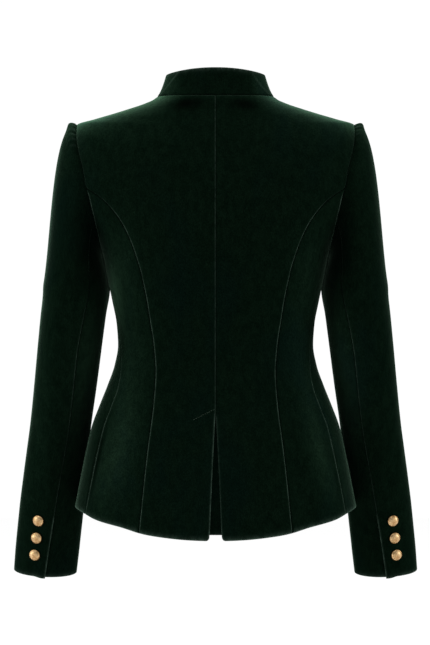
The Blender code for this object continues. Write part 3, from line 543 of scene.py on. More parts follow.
@dataclass
class BodyShape(RingShape):
    """The body's surface, with the lines at which it is cut into panels."""

    rings: tuple[Ring, ...] = BODY_RINGS
    flutes: tuple[Flute, ...] = FLUTES
    armhole_back_reach: float = 56.0 * MM
    armhole_front_reach: float = 58.0 * MM
    armhole_egg: tuple[float, float, float] = (1.02, -0.20, -0.42)
    vent_half_opening: float = 9.3 * MM
    far_turn: float = 1.4
    side_from: float = -0.2
    back_line: Line = field(init=False)
    front_line: Line = field(init=False)

    def __post_init__(self) -> None:
        """Ends both princess seams on the armhole."""
        super().__post_init__()
        self.side_offset = SmoothColumn([p.side_z for p in SIDE_SEAM], [p.offset for p in SIDE_SEAM])
        quarter = np.pi / 2
        self.back_line = self._princess(BACK_PRINCESS, PRINCESS_TOP_Z, self.armhole_back, quarter)
        self.front_line = self._princess(FRONT_PRINCESS, FRONT_PRINCESS_TOP_Z, self.armhole_front,
                                         -quarter)

    def turn_where(self, side_z: Array, axis: int, target: Array, low: float, high: float) -> Array:
        """The turn at which the plain body has a coordinate.

        Args:
            side_z: Heights.
            axis: 0 for X and 1 for Y.
            target: The coordinate, in metres.
            low: The turn to look from.
            high: The turn to look to.

        Returns:
            The turn at each height.
        """
        side_z, target = np.broadcast_arrays(np.asarray(side_z, float), np.asarray(target, float))
        low, high = np.full(side_z.shape, float(low)), np.full(side_z.shape, float(high))
        rising = self.point(high, side_z, False)[..., axis] > self.point(low, side_z, False)[..., axis]
        for _ in range(HALVINGS):
            middle = (low + high) / 2.0
            above = (self.point(middle, side_z, False)[..., axis] > target) == rising
            low, high = np.where(above, low, middle), np.where(above, middle, high)
        return (low + high) / 2.0

    def armhole_reach(self, side_z: Array, furthest: float) -> Array:
        """How far the armhole's edge lies from the side plane at a height."""
        middle = (SHOULDER_Z + UNDERARM_Z) / 2.0
        up = np.clip((side_z - middle) / (SHOULDER_Z - middle), -1.0, 1.0)
        plain, first, second = self.armhole_egg
        return furthest * np.sqrt(1.0 - up * up) * (plain + first * up + second * up * up)

    def armhole_back(self, side_z: Array) -> Array:
        """The armhole's turn behind the side."""
        reach = self.armhole_reach(side_z, self.armhole_back_reach)
        return self.turn_where(side_z, 1, reach, 0.0, self.far_turn)

    def armhole_front(self, side_z: Array) -> Array:
        """The armhole's turn before the side."""
        reach = self.armhole_reach(side_z, self.armhole_front_reach)
        return self.turn_where(side_z, 1, -reach, 0.0, -self.far_turn)

    def _princess(self, places: tuple[Place, ...], top_z: float, armhole: Line, quarter: float) -> Line:
        """A reader of the turn of a princess seam whose top lies on the armhole."""
        top_x = float(self.point(armhole(np.array(top_z)), top_z, False)[..., 0]) / MM
        rows = places + (Place(top_z / MM, top_x),)
        offset = SmoothColumn([p.side_z for p in rows], [p.offset for p in rows])

        def read(side_z: Array) -> Array:
            """The seam's turn at each height."""
            target = offset(np.minimum(side_z, top_z) / MM) * MM
            return self.turn_where(side_z, 0, target, 0.0, quarter)

        return read

    def turn_of(self, length: Array, phi: Array, side_z: Array) -> Array:
        """The turn round the body that covers a length of cloth."""
        point = self.point(phi, side_z, False)
        return length / np.hypot(point[..., 0], point[..., 1])

    def side_line(self, side_z: Array) -> Array:
        """The side seam's turn."""
        target = self.side_offset(side_z / MM) * MM
        return self.turn_where(side_z, 1, target, self.side_from, self.far_turn)

    def nudged(self, seam: Array, side_z: Array, way: float) -> Array:
        """A seam line moved a little, so that the pieces on both sides of it just cross."""
        return seam - way * self.turn_of(SEAM_OVERLAP, seam, side_z)

    def outer_back(self, side_z: Array) -> Array:
        """A back panel's outer edge: princess seam, armhole, then shoulder seam."""
        seam = self.nudged(self.back_line(side_z), side_z, 1.0)
        edge = np.where(side_z > PRINCESS_TOP_Z, self.armhole_back(side_z), seam)
        return np.where(side_z > SHOULDER_Z - self.step, self.nudged(0.0 * side_z, side_z, 1.0), edge)

    def outer_front(self, side_z: Array) -> Array:
        """A front panel's outer edge: princess seam, armhole, then shoulder seam."""
        seam = self.nudged(self.front_line(side_z), side_z, -1.0)
        edge = np.where(side_z > FRONT_PRINCESS_TOP_Z, self.armhole_front(side_z), seam)
        return np.where(side_z > SHOULDER_Z - self.step, self.nudged(0.0 * side_z, side_z, -1.0), edge)

    def centre_back(self, side_z: Array) -> Array:
        """The centre back edge, which opens into the vent below the waist."""
        vent = np.clip((VENT_TOP_Z - side_z) / (VENT_TOP_Z - HEM_Z), 0.0, 1.0)
        gap = self.vent_half_opening * vent - SEAM_OVERLAP
        return np.pi / 2 - self.turn_of(gap, np.pi / 2 + 0.0 * side_z, side_z)

    def side_back_low(self, side_z: Array) -> Array:
        """A side back panel's front edge: side seam, then armhole."""
        seam = self.nudged(self.side_line(side_z), side_z, 1.0)
        return np.where(side_z > UNDERARM_Z + self.step, self.armhole_back(side_z), seam)

    def side_back_high(self, side_z: Array) -> Array:
        """A side back panel's princess edge."""
        return self.nudged(self.back_line(side_z), side_z, -1.0)

    def side_front_low(self, side_z: Array) -> Array:
        """A side front panel's princess edge."""
        return self.nudged(self.front_line(side_z), side_z, 1.0)

    def side_front_high(self, side_z: Array) -> Array:
        """A side front panel's back edge: side seam, then armhole."""
        seam = self.nudged(self.side_line(side_z), side_z, -1.0)
        return np.where(side_z > UNDERARM_Z + self.step, self.armhole_front(side_z), seam)

    def past_centre_front(self, distance: float) -> Line:
        """A reader of a line that lies past the centre front."""
        def read(side_z: Array) -> Array:
            """The line's turn at each height."""
            return -np.pi / 2 - self.turn_of(distance, -np.pi / 2 + 0.0 * side_z, side_z)

        return read

    def side_level(self, front_z: Array) -> Array:
        """The side height of the ring that has a height at the centre front."""
        return np.interp(front_z, [r.front_z * MM for r in BODY_RINGS], [r.side_z * MM for r in BODY_RINGS])


@dataclass
class SleeveShape:
    """The sleeve's surface, from the armhole over the cap to the cuff."""

    body: BodyShape
    head_out: float = 100.0 * MM
    head_up: float = 34.0 * MM
    underarm_out: float = 2.0 * MM
    underarm_down: float = 30.0 * MM
    fore_and_aft: float = 14.0 * MM
    roll: float = 4.6 * MM
    roll_at: float = 0.085
    roll_spread: float = 0.07
    roll_way: tuple[float, float, float] = (0.75, 0.0, 0.66)
    roll_rise: float = 0.05
    roll_sharpness: float = 1.5
    cap_middle: float = 180.0 * MM
    arrive_step: float = 4.0 * MM
    turn_step: float = 0.01
    down_step: float = 0.0015
    seam_gap: float = -0.05 * MM
    length: float = (BICEP_Z - CUFF_Z) / (1.0 - CAP_SHARE)
    table: Table = field(init=False)
    seams: Table = field(init=False)

    def __post_init__(self) -> None:
        """Reads the sections and the seams."""
        self.table = Table(SLEEVE_SECTIONS, "z")
        self.seams = Table(SLEEVE_SEAMS, "down")

    def tube(self, psi: Array, z: Array) -> Array:
        """Points of the sleeve below the biceps: 0 is outwards, a quarter turn at the back."""
        at = z / MM
        raised, lean = np.radians(self.table("raised", at)), np.radians(self.table("lean", at))
        across = self.table("half_width", at) * np.cos(psi)
        along = self.table("half_depth", at) * np.sin(psi)
        x = self.table("x", at) + across * np.cos(raised)
        y = self.table("y", at) + along * np.cos(lean)
        return np.stack((x, y, at + across * np.sin(raised) - along * np.sin(lean)), axis=-1) * MM

    def armhole_turn(self, psi: Array) -> tuple[Array, Array]:
        """The body's turn and side height on the armhole, from the shoulder round the back."""
        side_z = (SHOULDER_Z + UNDERARM_Z) / 2.0 + (SHOULDER_Z - UNDERARM_Z) / 2.0 * np.cos(psi)
        back, front = self.body.armhole_back(side_z), self.body.armhole_front(side_z)
        return np.where(np.sin(psi) >= 0.0, back, front), side_z

    def armhole(self, psi: Array) -> tuple[Array, Array]:
        """The armhole's edge and the body's normal there."""
        phi, side_z = self.armhole_turn(psi)
        normal = self.body.normal(phi, np.minimum(side_z, SHOULDER_Z - self.body.step))
        return self.body.point(phi, side_z), normal

    def armhole_lift(self, psi: Array, side: Side) -> Array:
        """How far the body's creases lift the armhole's edge on one side."""
        phi, side_z = self.armhole_turn(psi)
        turn = np.degrees(phi if side is Side.LEFT else np.pi - phi)
        return crease_height(BODY_CREASES, turn, side_z / MM, BODY_PER_DEGREE)

    def cap_frame(self, psi: Array) -> tuple[Array, Array, Array, Array]:
        """Start, end and both end directions of the cap's lines.

        Args:
            psi: Turns round the sleeve.

        Returns:
            The start on the armhole, the way it leaves, the end on the biceps ring and
            the way it arrives.
        """
        edge, normal = self.armhole(psi)
        ahead = self.armhole(psi + self.turn_step)[0] - self.armhole(psi - self.turn_step)[0]
        top = (1.0 + np.cos(psi)) / 2.0
        leave = np.stack((
            self.head_out * top + self.underarm_out * (1.0 - top),
            self.fore_and_aft * np.sin(psi),
            self.head_up * top * top - self.underarm_down * (1.0 - top),
        ), axis=-1)
        inward = unit(np.cross(ahead, normal))
        middle = np.array((self.cap_middle, 0.0, (SHOULDER_Z + UNDERARM_Z) / 2.0))
        inward = inward * np.sign(np.sum(inward * (middle - edge), axis=-1, keepdims=True))
        heading = unit(leave)
        rise = np.clip(np.sum(heading * normal, axis=-1), 0.0, 1.0)
        half = np.arctan2(rise, np.sum(heading * inward, axis=-1))[..., None] / 2.0
        start = edge + self.seam_gap * (inward * np.cos(half) + normal * np.sin(half))
        end = self.tube(psi, np.full(psi.shape, BICEP_Z))
        span = np.linalg.norm(end - start, axis=-1, keepdims=True)
        arrive = unit(self.tube(psi, np.full(psi.shape, BICEP_Z - self.arrive_step)) - end) * span
        return start, leave, end, arrive

    def point(self, psi: Array, down: Array) -> Array:
        """Points of the whole sleeve.

        Args:
            psi: Turn round the sleeve.
            down: 0 at the armhole, CAP_SHARE at the biceps and 1 at the cuff.

        Returns:
            The points, in metres.
        """
        psi, down = np.broadcast_arrays(np.asarray(psi, float), np.asarray(down, float))
        start, leave, end, arrive = self.cap_frame(psi)
        t = np.clip(down / CAP_SHARE, 0.0, 1.0)[..., None]
        cap = (start * (1 + 2 * t) * (1 - t) ** 2 + leave * t * (1 - t) ** 2
               + end * t * t * (3 - 2 * t) + arrive * t * t * (t - 1))
        top = np.clip(np.cos(psi), 0.0, 1.0)[..., None] ** self.roll_sharpness
        roll = self.roll * top * bell(t - self.roll_at, self.roll_spread) * smoothstep(t / self.roll_rise)
        cap = cap + roll * np.array(self.roll_way)
        below = np.clip((down - CAP_SHARE) / (1.0 - CAP_SHARE), 0.0, 1.0)
        tube = self.tube(psi, BICEP_Z + (CUFF_Z - BICEP_Z) * below)
        return np.where((down < CAP_SHARE)[..., None], cap, tube)

    def normal(self, psi: Array, down: Array) -> Array:
        """Outward normals of the sleeve."""
        middle = np.clip(down, self.down_step, 1.0 - self.down_step)
        around = self.point(psi + self.turn_step, down) - self.point(psi - self.turn_step, down)
        along = self.point(psi, middle - self.down_step) - self.point(psi, middle + self.down_step)
        return unit(np.cross(around, along))

    def hind(self, down: Array) -> Array:
        """The hind seam's turn."""
        return np.radians(self.seams("hind", down))

    def fore(self, down: Array) -> Array:
        """The fore seam's turn."""
        return np.radians(self.seams("fore", down))


@dataclass
class Cloth:
    """One cut piece as a grid of points with normals, ready to be given its wall.

    The four edges are the first and last column, and the first and last row. Each has a
    share from 0, a seam, to 1, a free folded edge, for every row or column along it. Its
    line is how brightly the pile catches the light there, and below 0 it lies in shade.
    """

    name: str
    points: Array
    normals: Array
    lift: Array
    low_fold: Array | float = 0.0
    high_fold: Array | float = 0.0
    bottom_fold: Array | float = 1.0
    top_fold: Array | float = 0.0
    low_line: Array | float = 0.0
    high_line: Array | float = 0.0
    bottom_line: Array | float = 1.0
    top_line: Array | float = 0.0
    tone: float = 1.0
    # Patches of painted light and painted shade on the pile
    brushed: tuple[PaintedLight, ...] = BODY_PAINTED_LIGHT
    mirrored: bool = False
    wall: float = CLOTH_WALL
    seam_dip: float = 0.75 * MM
    seam_width: float = 1.9 * MM
    seam_swell: float = 0.22 * MM
    swell_at: float = 3.6 * MM
    swell_width: float = 2.0 * MM
    fold_round: float = 0.82
    # Painted highlight, and below 0 painted shade, on collar ridges and sleeve gathers
    gloss: Array | float = 0.0
    line_width: float = 0.95 * MM
    rim_width: float = 1.2 * MM
    glow_width: float = 4.0 * MM
    glow: float = 0.30
    shade_width: float = 1.5 * MM
    # The least that the tone with its painted shade may fall to
    darkest_nap: float = 0.12

    def edge_distances(self) -> list[tuple[Array, Array, Array, float]]:
        """Each point's distance from each edge, with that edge's share of fold, line and glow."""
        made = []
        rows, columns = self.points.shape[:2]
        for axis, at, fold, shine in (
            (0, 0, self.low_fold, self.low_line), (0, -1, self.high_fold, self.high_line),
            (1, 0, self.bottom_fold, self.bottom_line), (1, -1, self.top_fold, self.top_line),
        ):
            line = self.points[:, at] if axis == 0 else self.points[at]
            tangent = unit(np.gradient(line, axis=0))
            length = rows if axis == 0 else columns
            share = np.broadcast_to(np.asarray(fold, float), (length,))
            shine = np.broadcast_to(np.asarray(shine, float), (length,))
            line, tangent, share, shine = (
                np.expand_dims(values, 1 - axis) for values in (line, tangent, share, shine)
            )
            away = self.points - line
            away = away - np.sum(away * tangent, axis=-1, keepdims=True) * tangent
            made.append((np.linalg.norm(away, axis=-1), share, shine, self.glow * axis))
        return made

    def surfaces(self) -> tuple[Array, Array, Array]:
        """Outer and inner points, and how bright or shaded the pile is along the edges."""
        outer, inner = self.lift.copy(), self.lift - self.wall
        bright, shaded = np.zeros(self.lift.shape), np.zeros(self.lift.shape)
        for distance, fold, shine, glow in self.edge_distances():
            near = 1.0 - np.clip(distance / self.seam_width, 0.0, 1.0)
            dip = self.seam_dip * (1.0 - np.sqrt(1.0 - near * near))
            swell = self.seam_swell * bell(distance - self.swell_at, self.swell_width)
            outer = outer + (1.0 - fold) * (swell - dip)
            radius = self.wall / 2.0
            near = 1.0 - np.clip(distance / radius, 0.0, 1.0)
            rounding = fold * self.fold_round * radius * (1.0 - np.sqrt(1.0 - near * near))
            outer, inner = outer - rounding, inner + rounding
            rim = (1.0 - glow) * bell(distance, self.rim_width) + glow * bell(distance, self.glow_width)
            lit = fold * rim + (1.0 - fold) * bell(distance, self.line_width)
            bright = np.maximum(bright, np.maximum(shine, 0.0) * lit)
            shaded = np.maximum(shaded, np.maximum(-shine, 0.0) * bell(distance, self.shade_width))
        outer = self.points + outer[..., None] * self.normals
        inner = self.points + inner[..., None] * self.normals
        if self.mirrored:
            outer, inner = outer * MIRROR, inner * MIRROR
        return outer, inner, bright - shaded + self.gloss

    def nap(self, points: Array) -> Array:
        """The piece's tone plus its patches of painted light and painted shade at each point, 1 being
        plain.
        """
        value = np.full(points.shape[:-1], self.tone)
        for patch in self.brushed:
            away = points / MM - (patch.x, patch.y, patch.z)
            away[..., 0] -= patch.lean * away[..., 2]
            away = away / (patch.reach_x, patch.reach_y, patch.reach_z)
            value = value + patch.amount * np.exp(-np.sum(away * away, axis=-1))
        return np.maximum(value, self.darkest_nap)

    def flat_map(self) -> tuple[Array, Array]:
        """The piece laid flat: distance across from its middle, and up from its hem."""
        across = np.linalg.norm(np.diff(self.points, axis=1), axis=-1)
        across = np.concatenate((np.zeros((len(across), 1)), np.cumsum(across, axis=1)), axis=1)
        across = across - across[:, -1:] / 2.0
        middle = self.points[:, self.points.shape[1] // 2]
        up = np.concatenate(((0.0,), np.cumsum(np.linalg.norm(np.diff(middle, axis=0), axis=-1))))
        return across, np.broadcast_to(up[:, None], across.shape)

    def cut(self) -> tuple[float, float, float]:
        """Width, length and area of the piece laid flat, in metres."""
        p = self.points
        width = np.linalg.norm(np.diff(p, axis=1), axis=-1).sum(axis=1).max()
        length = np.linalg.norm(np.diff(p, axis=0), axis=-1).sum(axis=0).max()
        first = np.cross(p[1:, 1:] - p[:-1, :-1], p[1:, :-1] - p[:-1, 1:])
        area = float(np.linalg.norm(first, axis=-1).sum() / 2.0)
        area = min(area, AREA_LIMIT * float(width * length))
        return round(float(width), 4), round(float(length), 4), area

    def build(self, materials: Sequence[Material]) -> bpy.types.Object:
        """Makes the closed shell.

        Args:
            materials: The finish of the face and of the wrong side.

        Returns:
            The piece.
        """
        outer, inner, line = self.surfaces()
        rows, columns = outer.shape[:2]
        face = np.arange(rows * columns).reshape(rows, columns)
        back = face + rows * columns

        def quads(a: Array, b: Array, c: Array, d: Array) -> Array:
            """Four-sided faces from matching corners."""
            return np.stack((a.ravel(), b.ravel(), c.ravel(), d.ravel()), axis=1)

        front = quads(face[:-1, :-1], face[:-1, 1:], face[1:, 1:], face[1:, :-1])
        groups = [
            front,
            quads(back[:-1, :-1], back[1:, :-1], back[1:, 1:], back[:-1, 1:]),
            quads(face[0, 1:], face[0, :-1], back[0, :-1], back[0, 1:]),
            quads(face[-1, :-1], face[-1, 1:], back[-1, 1:], back[-1, :-1]),
            quads(face[:-1, 0], face[1:, 0], back[1:, 0], back[:-1, 0]),
            quads(face[1:, -1], face[:-1, -1], back[:-1, -1], back[1:, -1]),
        ]
        points = np.concatenate((outer.reshape(-1, 3), inner.reshape(-1, 3)))
        corners = points[front]
        facing = np.cross(corners[:, 1] - corners[:, 0], corners[:, 3] - corners[:, 0])
        out = outer.reshape(-1, 3) - inner.reshape(-1, 3)
        faces = np.concatenate(groups)
        if np.sum(facing * out[front[:, 0]]) < 0.0:
            faces = faces[:, ::-1]
        mesh = bpy.data.meshes.new(self.name)
        mesh.from_pydata(points.tolist(), [], faces.tolist())
        for material in materials:
            mesh.materials.append(material)
        wrong_side = np.zeros(len(faces), np.int32)
        wrong_side[len(front):2 * len(front)] = 1
        mesh.polygons.foreach_set("material_index", wrong_side)
        mesh.polygons.foreach_set("use_smooth", np.ones(len(faces), bool))
        across, up = self.flat_map()
        flat = np.tile(np.stack((across.ravel(), up.ravel()), axis=1), (2, 1))
        loops = np.zeros(len(mesh.loops), np.int32)
        mesh.loops.foreach_get("vertex_index", loops)
        layer = mesh.uv_layers.new(name="cut")
        layer.uv.foreach_set("vector", flat[loops].astype(np.float32).ravel())
        # Painted highlights and shade along the edges, then the tone with its painted light and shade
        for name, mask in (("line", line), ("nap", self.nap(outer))):
            give(mesh, name, "FLOAT", np.tile(mask.ravel(), 2))
        mesh.update()
        return placed(self.name, mesh)


def edge_steps(width: Array, cell: float) -> Array:
    """Shares across each row, close together at both ends and even between them.

    Args:
        width: Width of each row.
        cell: Distance between columns in the middle of the widest row.

    Returns:
        A row of shares from 0 to 1 for each width.
    """
    width = np.asarray(width, float)[:, None]
    count = max(FEWEST_COLUMNS, int(np.ceil((width.max() - 2 * EDGE_OFFSETS[-1]) / cell)) + 1)
    scale = np.minimum(1.0, EDGE_SHARE * width / EDGE_OFFSETS[-1])
    start = EDGE_OFFSETS[None] * scale / width
    between = np.linspace(0.0, 1.0, count)[None, 1:-1]
    middle = start[:, -1:] + (1.0 - 2.0 * start[:, -1:]) * between
    return np.concatenate((start, middle, 1.0 - start[:, ::-1]), axis=1)


def body_levels(low: float, high: float) -> Array:
    """Heights of a body panel's rows, close together at both ends.

    Args:
        low: Side height of the lowest row.
        high: Side height of the highest row.

    Returns:
        The heights in rising order.
    """
    below = np.arange(HEM_Z, UNDERARM_Z, CELL)
    turn = np.linspace(np.pi, 0.0, ARMHOLE_ROWS)
    beside = (SHOULDER_Z + UNDERARM_Z) / 2.0 + (SHOULDER_Z - UNDERARM_Z) / 2.0 * np.cos(turn)
    above = np.linspace(SHOULDER_Z, NECK_Z, SHOULDER_ROWS)[1:]
    levels = np.concatenate((below, beside, above))
    first, last = low + EDGE_OFFSETS, high - EDGE_OFFSETS[::-1]
    kept = levels[(levels > first[-1] + ROW_GAPS[0]) & (levels < last[0] - ROW_GAPS[1])]
    return np.concatenate((first, kept, last))


def lapped(points: Array) -> Array:
    """How far the right front and the collar's right end stand out over the left front.

    Args:
        points: Points as they lie before the right side is mirrored.

    Returns:
        The height at each point.
    """
    start, full = LAP_RAMP
    return (LAP_LIFT + LAP_CLEARANCE) * smoothstep((start - points[..., 0]) / (start - full))


@dataclass
class BodyPanels:
    """The panels of the body: back, side backs, underlap, side fronts and fronts."""

    shape: BodyShape
    hem_corner: float = 4.5 * MM
    front_corner: float = 14.0 * MM
    underlap_top: float = -424.0 * MM
    underlap_hem: float = -568.6 * MM
    underlap_half_width: float = 34.0 * MM
    right_past_centre: float = 18.0 * MM
    left_past_centre: float = 11.0 * MM
    row_samples: int = 13
    corner_fade: float = 2.5
    vent_ramp: float = 10.0 * MM
    armhole_shine: float = 0.10
    seam_shine: tuple[float, float] = (0.05, 0.80)
    seam_shine_below: float = 6.0 * MM
    seam_shine_ramp: float = 48.0 * MM
    skirt_shine: tuple[float, float] = (0.12, 0.55)
    skirt_shine_top: float = -360.0 * MM
    skirt_shine_ramp: float = 60.0 * MM
    scye_shine: float = 1.4
    scye_shine_low: float = -300.0 * MM
    scye_shine_ramps: tuple[float, float] = (30.0 * MM, 10.0 * MM)
    scye_shine_below: float = 3.0 * MM

    def panel(self, name: str, low: Line, high: Line, levels: Array, side: Side, corner: float = 0.0,
              lift: Line | None = None, **edges: Array | float) -> Cloth:
        """A panel between two lines of the body.

        Args:
            name: The piece's name.
            low: Turn of its first edge at a height, on the wearer's left.
            high: Turn of its last edge.
            levels: Heights of its rows.
            side: The side that the panel is on.
            corner: Radius of the hem corner at the last edge.
            lift: How far the panel stands out from the body at each point.
            **edges: Folds and lines of the four edges, and the panel's tone.

        Returns:
            The panel as cloth.
        """
        first, last = low(levels), high(levels)
        samples = np.linspace(0.0, 1.0, self.row_samples)
        phi = first[:, None] * (1.0 - samples) + last[:, None] * samples
        row = self.shape.point(phi, levels[:, None], False)
        shares = edge_steps(np.linalg.norm(np.diff(row, axis=1), axis=-1).sum(axis=1), CELL)
        phi = first[:, None] * (1.0 - shares) + last[:, None] * shares
        side_z = np.broadcast_to(levels[:, None], phi.shape).copy()
        if corner > 0.0:
            hem = self.shape.point(phi[0], side_z[0])
            inside = np.clip(corner - np.linalg.norm(hem - hem[-1], axis=-1), 0.0, corner)
            raised = corner - np.sqrt(corner ** 2 - inside ** 2)
            fade = 1.0 - np.clip((levels - levels[0]) / (self.corner_fade * corner), 0.0, 1.0)
            side_z = side_z + raised[None] * fade[:, None]
        points, normals = self.shape.point(phi, side_z), self.shape.normal(phi, side_z)
        turn = np.degrees(phi if side is Side.LEFT else np.pi - phi)
        out = crease_height(BODY_CREASES, turn, side_z / MM, BODY_PER_DEGREE)
        if lift is not None:
            out = out + lift(points)
        return Cloth(name, points, normals, out, mirrored=side is Side.RIGHT, **edges)

    def backs(self) -> list[tuple[Cloth, str]]:
        """The two centre back panels and the two side back panels."""
        made = []
        shape = self.shape
        levels = body_levels(HEM_Z, NECK_Z)
        vent = smoothstep((VENT_TOP_Z - levels) / self.vent_ramp)
        side_levels = body_levels(HEM_Z, PRINCESS_TOP_Z - PANEL_POINT_CUT)
        for side in Side:
            word = side.name.lower()
            seam, flap = CENTRE_SHINE[side]
            back = self.panel(
                f"velvet_back_{word}", shape.outer_back, shape.centre_back, levels, side, self.hem_corner,
                high_fold=vent, low_line=self.princess_line(levels),
                high_line=seam + (flap - seam) * vent, top_line=0.28,
            )
            beside = self.panel(
                f"velvet_side_back_{word}", shape.side_back_low, shape.side_back_high, side_levels, side,
                low_line=self.side_line(side_levels), high_line=-0.85, top_line=-0.5, line_width=1.5 * MM,
            )
            made += [(back, f"back_{word}"), (beside, f"side_back_{word}")]
        return made

    def princess_line(self, levels: Array) -> Array:
        """The painted highlight on a back panel's outer edge: faint at the armhole, then a clear seam."""
        faint, rise = self.seam_shine
        below = PRINCESS_TOP_Z - self.seam_shine_below - levels
        fading = faint + rise * smoothstep(below / self.seam_shine_ramp)
        return np.where(levels > PRINCESS_TOP_Z, self.armhole_shine, fading)

    def side_line(self, levels: Array) -> Array:
        """The painted highlight on a side back's front edge: clear at the armhole, soft at the side seam.
        """
        faint, rise = self.skirt_shine
        low_ramp, top_ramp = self.scye_shine_ramps
        low = faint + rise * smoothstep((self.skirt_shine_top - levels) / self.skirt_shine_ramp)
        top = smoothstep((PRINCESS_TOP_Z - self.scye_shine_below - levels) / top_ramp)
        return low + self.scye_shine * smoothstep((levels - self.scye_shine_low) / low_ramp) * top

    def underlap(self) -> tuple[Cloth, str]:
        """The layer behind the vent."""
        def edge(way: float) -> Line:
            """A reader of one edge of the underlap."""
            def read(side_z: Array) -> Array:
                """The edge's turn at each height."""
                quarter = np.pi / 2 + 0.0 * side_z
                return quarter + way * self.shape.turn_of(self.underlap_half_width, quarter, side_z)
            return read

        def sunk(points: Array) -> Array:
            """How deep the underlap lies behind the flaps, below 0."""
            return np.full(points.shape[:-1], -(CLOTH_WALL + LAP_CLEARANCE))

        levels = body_levels(self.underlap_hem, self.underlap_top)
        # Its tone below 1 is painted shade, as it lies in the vent's recess
        cloth = self.panel(
            "velvet_vent_underlap", edge(-1.0), edge(1.0), levels, Side.LEFT, lift=sunk, low_fold=1.0,
            high_fold=1.0, top_fold=1.0, tone=0.8, bottom_line=0.3, brushed=(),
        )
        return cloth, "vent_underlap"

    def fronts(self) -> list[tuple[Cloth, str]]:
        """The side fronts, the left front and the right front that laps over it."""
        made = []
        shape = self.shape
        side_levels = body_levels(HEM_Z, FRONT_PRINCESS_TOP_Z - PANEL_POINT_CUT)
        levels = body_levels(HEM_Z, NECK_Z)
        for side in Side:
            word = side.name.lower()
            beside = self.panel(
                f"velvet_side_front_{word}", shape.side_front_low, shape.side_front_high, side_levels, side,
                low_line=-0.8, high_line=0.05, top_line=-0.5,
            )
            past = self.left_past_centre if side is Side.LEFT else self.right_past_centre
            front = self.panel(
                f"velvet_front_{word}", shape.outer_front, shape.past_centre_front(past), levels, side,
                self.front_corner, lapped if side is Side.RIGHT else None,
                high_fold=1.0, high_line=0.9, low_line=0.7, top_line=0.6,
            )
            made += [(beside, f"side_front_{word}"), (front, f"front_{word}")]
        return made


@dataclass
class StandCollar:
    """The stand collar, open at the centre front."""

    body: BodyShape
    ridges: tuple[Ridge, ...] = COLLAR_RIDGES
    end_half_gap: float = 7.0 * MM
    around: float = 0.42
    cell: float = 2.4 * MM
    middle_rows: tuple[float, float, float] = (7.0, 25.0, 2.0)
    # The lift is far narrower than the grid, so a painted highlight on the pile draws the ridges
    ridge_depth: float = 1.7 * MM
    ridge_width: float = 5.0 * MM
    ridge_rise: tuple[float, float] = (0.35, 0.65)
    per_degree: float = 1.15
    shine: float = 0.22
    shine_width: float = 1.5
    joined_width: float = 4.0 * MM
    lap_fade: float = 0.6

    def cloth(self) -> tuple[Cloth, str]:
        """The collar as cloth, with the soft ridges that it has on each side."""
        shape = RingShape(COLLAR_RINGS)
        end = -np.pi / 2 + self.end_half_gap / (COLLAR_RINGS[0].front_depth * MM)
        top = COLLAR_RINGS[-1].side_z * MM
        levels = np.concatenate((EDGE_OFFSETS, np.arange(*self.middle_rows) * MM, top - EDGE_OFFSETS[::-1]))
        shares = edge_steps(np.full(len(levels), self.around), self.cell)
        phi = end + (3.0 * np.pi - 2.0 * (end + np.pi)) * shares
        side_z = np.broadcast_to(levels[:, None], phi.shape)
        points, normals = shape.point(phi, side_z), shape.normal(phi, side_z)
        joined = smoothstep(side_z / self.joined_width)[..., None]
        at_body = self.body.normal(phi, np.full(phi.shape, NECK_Z))
        normals = unit(at_body * (1.0 - joined) + normals * joined)
        up = side_z / top
        turn = np.degrees(phi)
        right_front = (points[..., 0] < 0.0) & (points[..., 1] < 0.0)
        lift = lapped(points * MIRROR) * right_front * (1.0 - self.lap_fade * up)
        gloss = np.zeros(phi.shape)
        lowest, more = self.ridge_rise
        rise = lowest + more * np.sin(np.pi * up)
        for ridge in self.ridges:
            off = (turn - ridge.turn - ridge.lean * (1.0 - up)) * self.per_degree
            lift = lift + ridge.depth * self.ridge_depth * bell(off, self.ridge_width) * rise
            # Each raised ridge also gets a painted highlight along it
            gloss = gloss + self.shine * max(ridge.depth, 0.0) * bell(off, self.shine_width) * rise
        return Cloth(
            "velvet_collar", points, normals, lift, low_fold=1.0, high_fold=1.0, bottom_fold=0.0,
            top_fold=1.0, low_line=0.9, high_line=0.9, bottom_line=-0.55, top_line=0.75, tone=0.92,
            gloss=gloss, brushed=COLLAR_PAINTED_LIGHT,
        ), "collar"


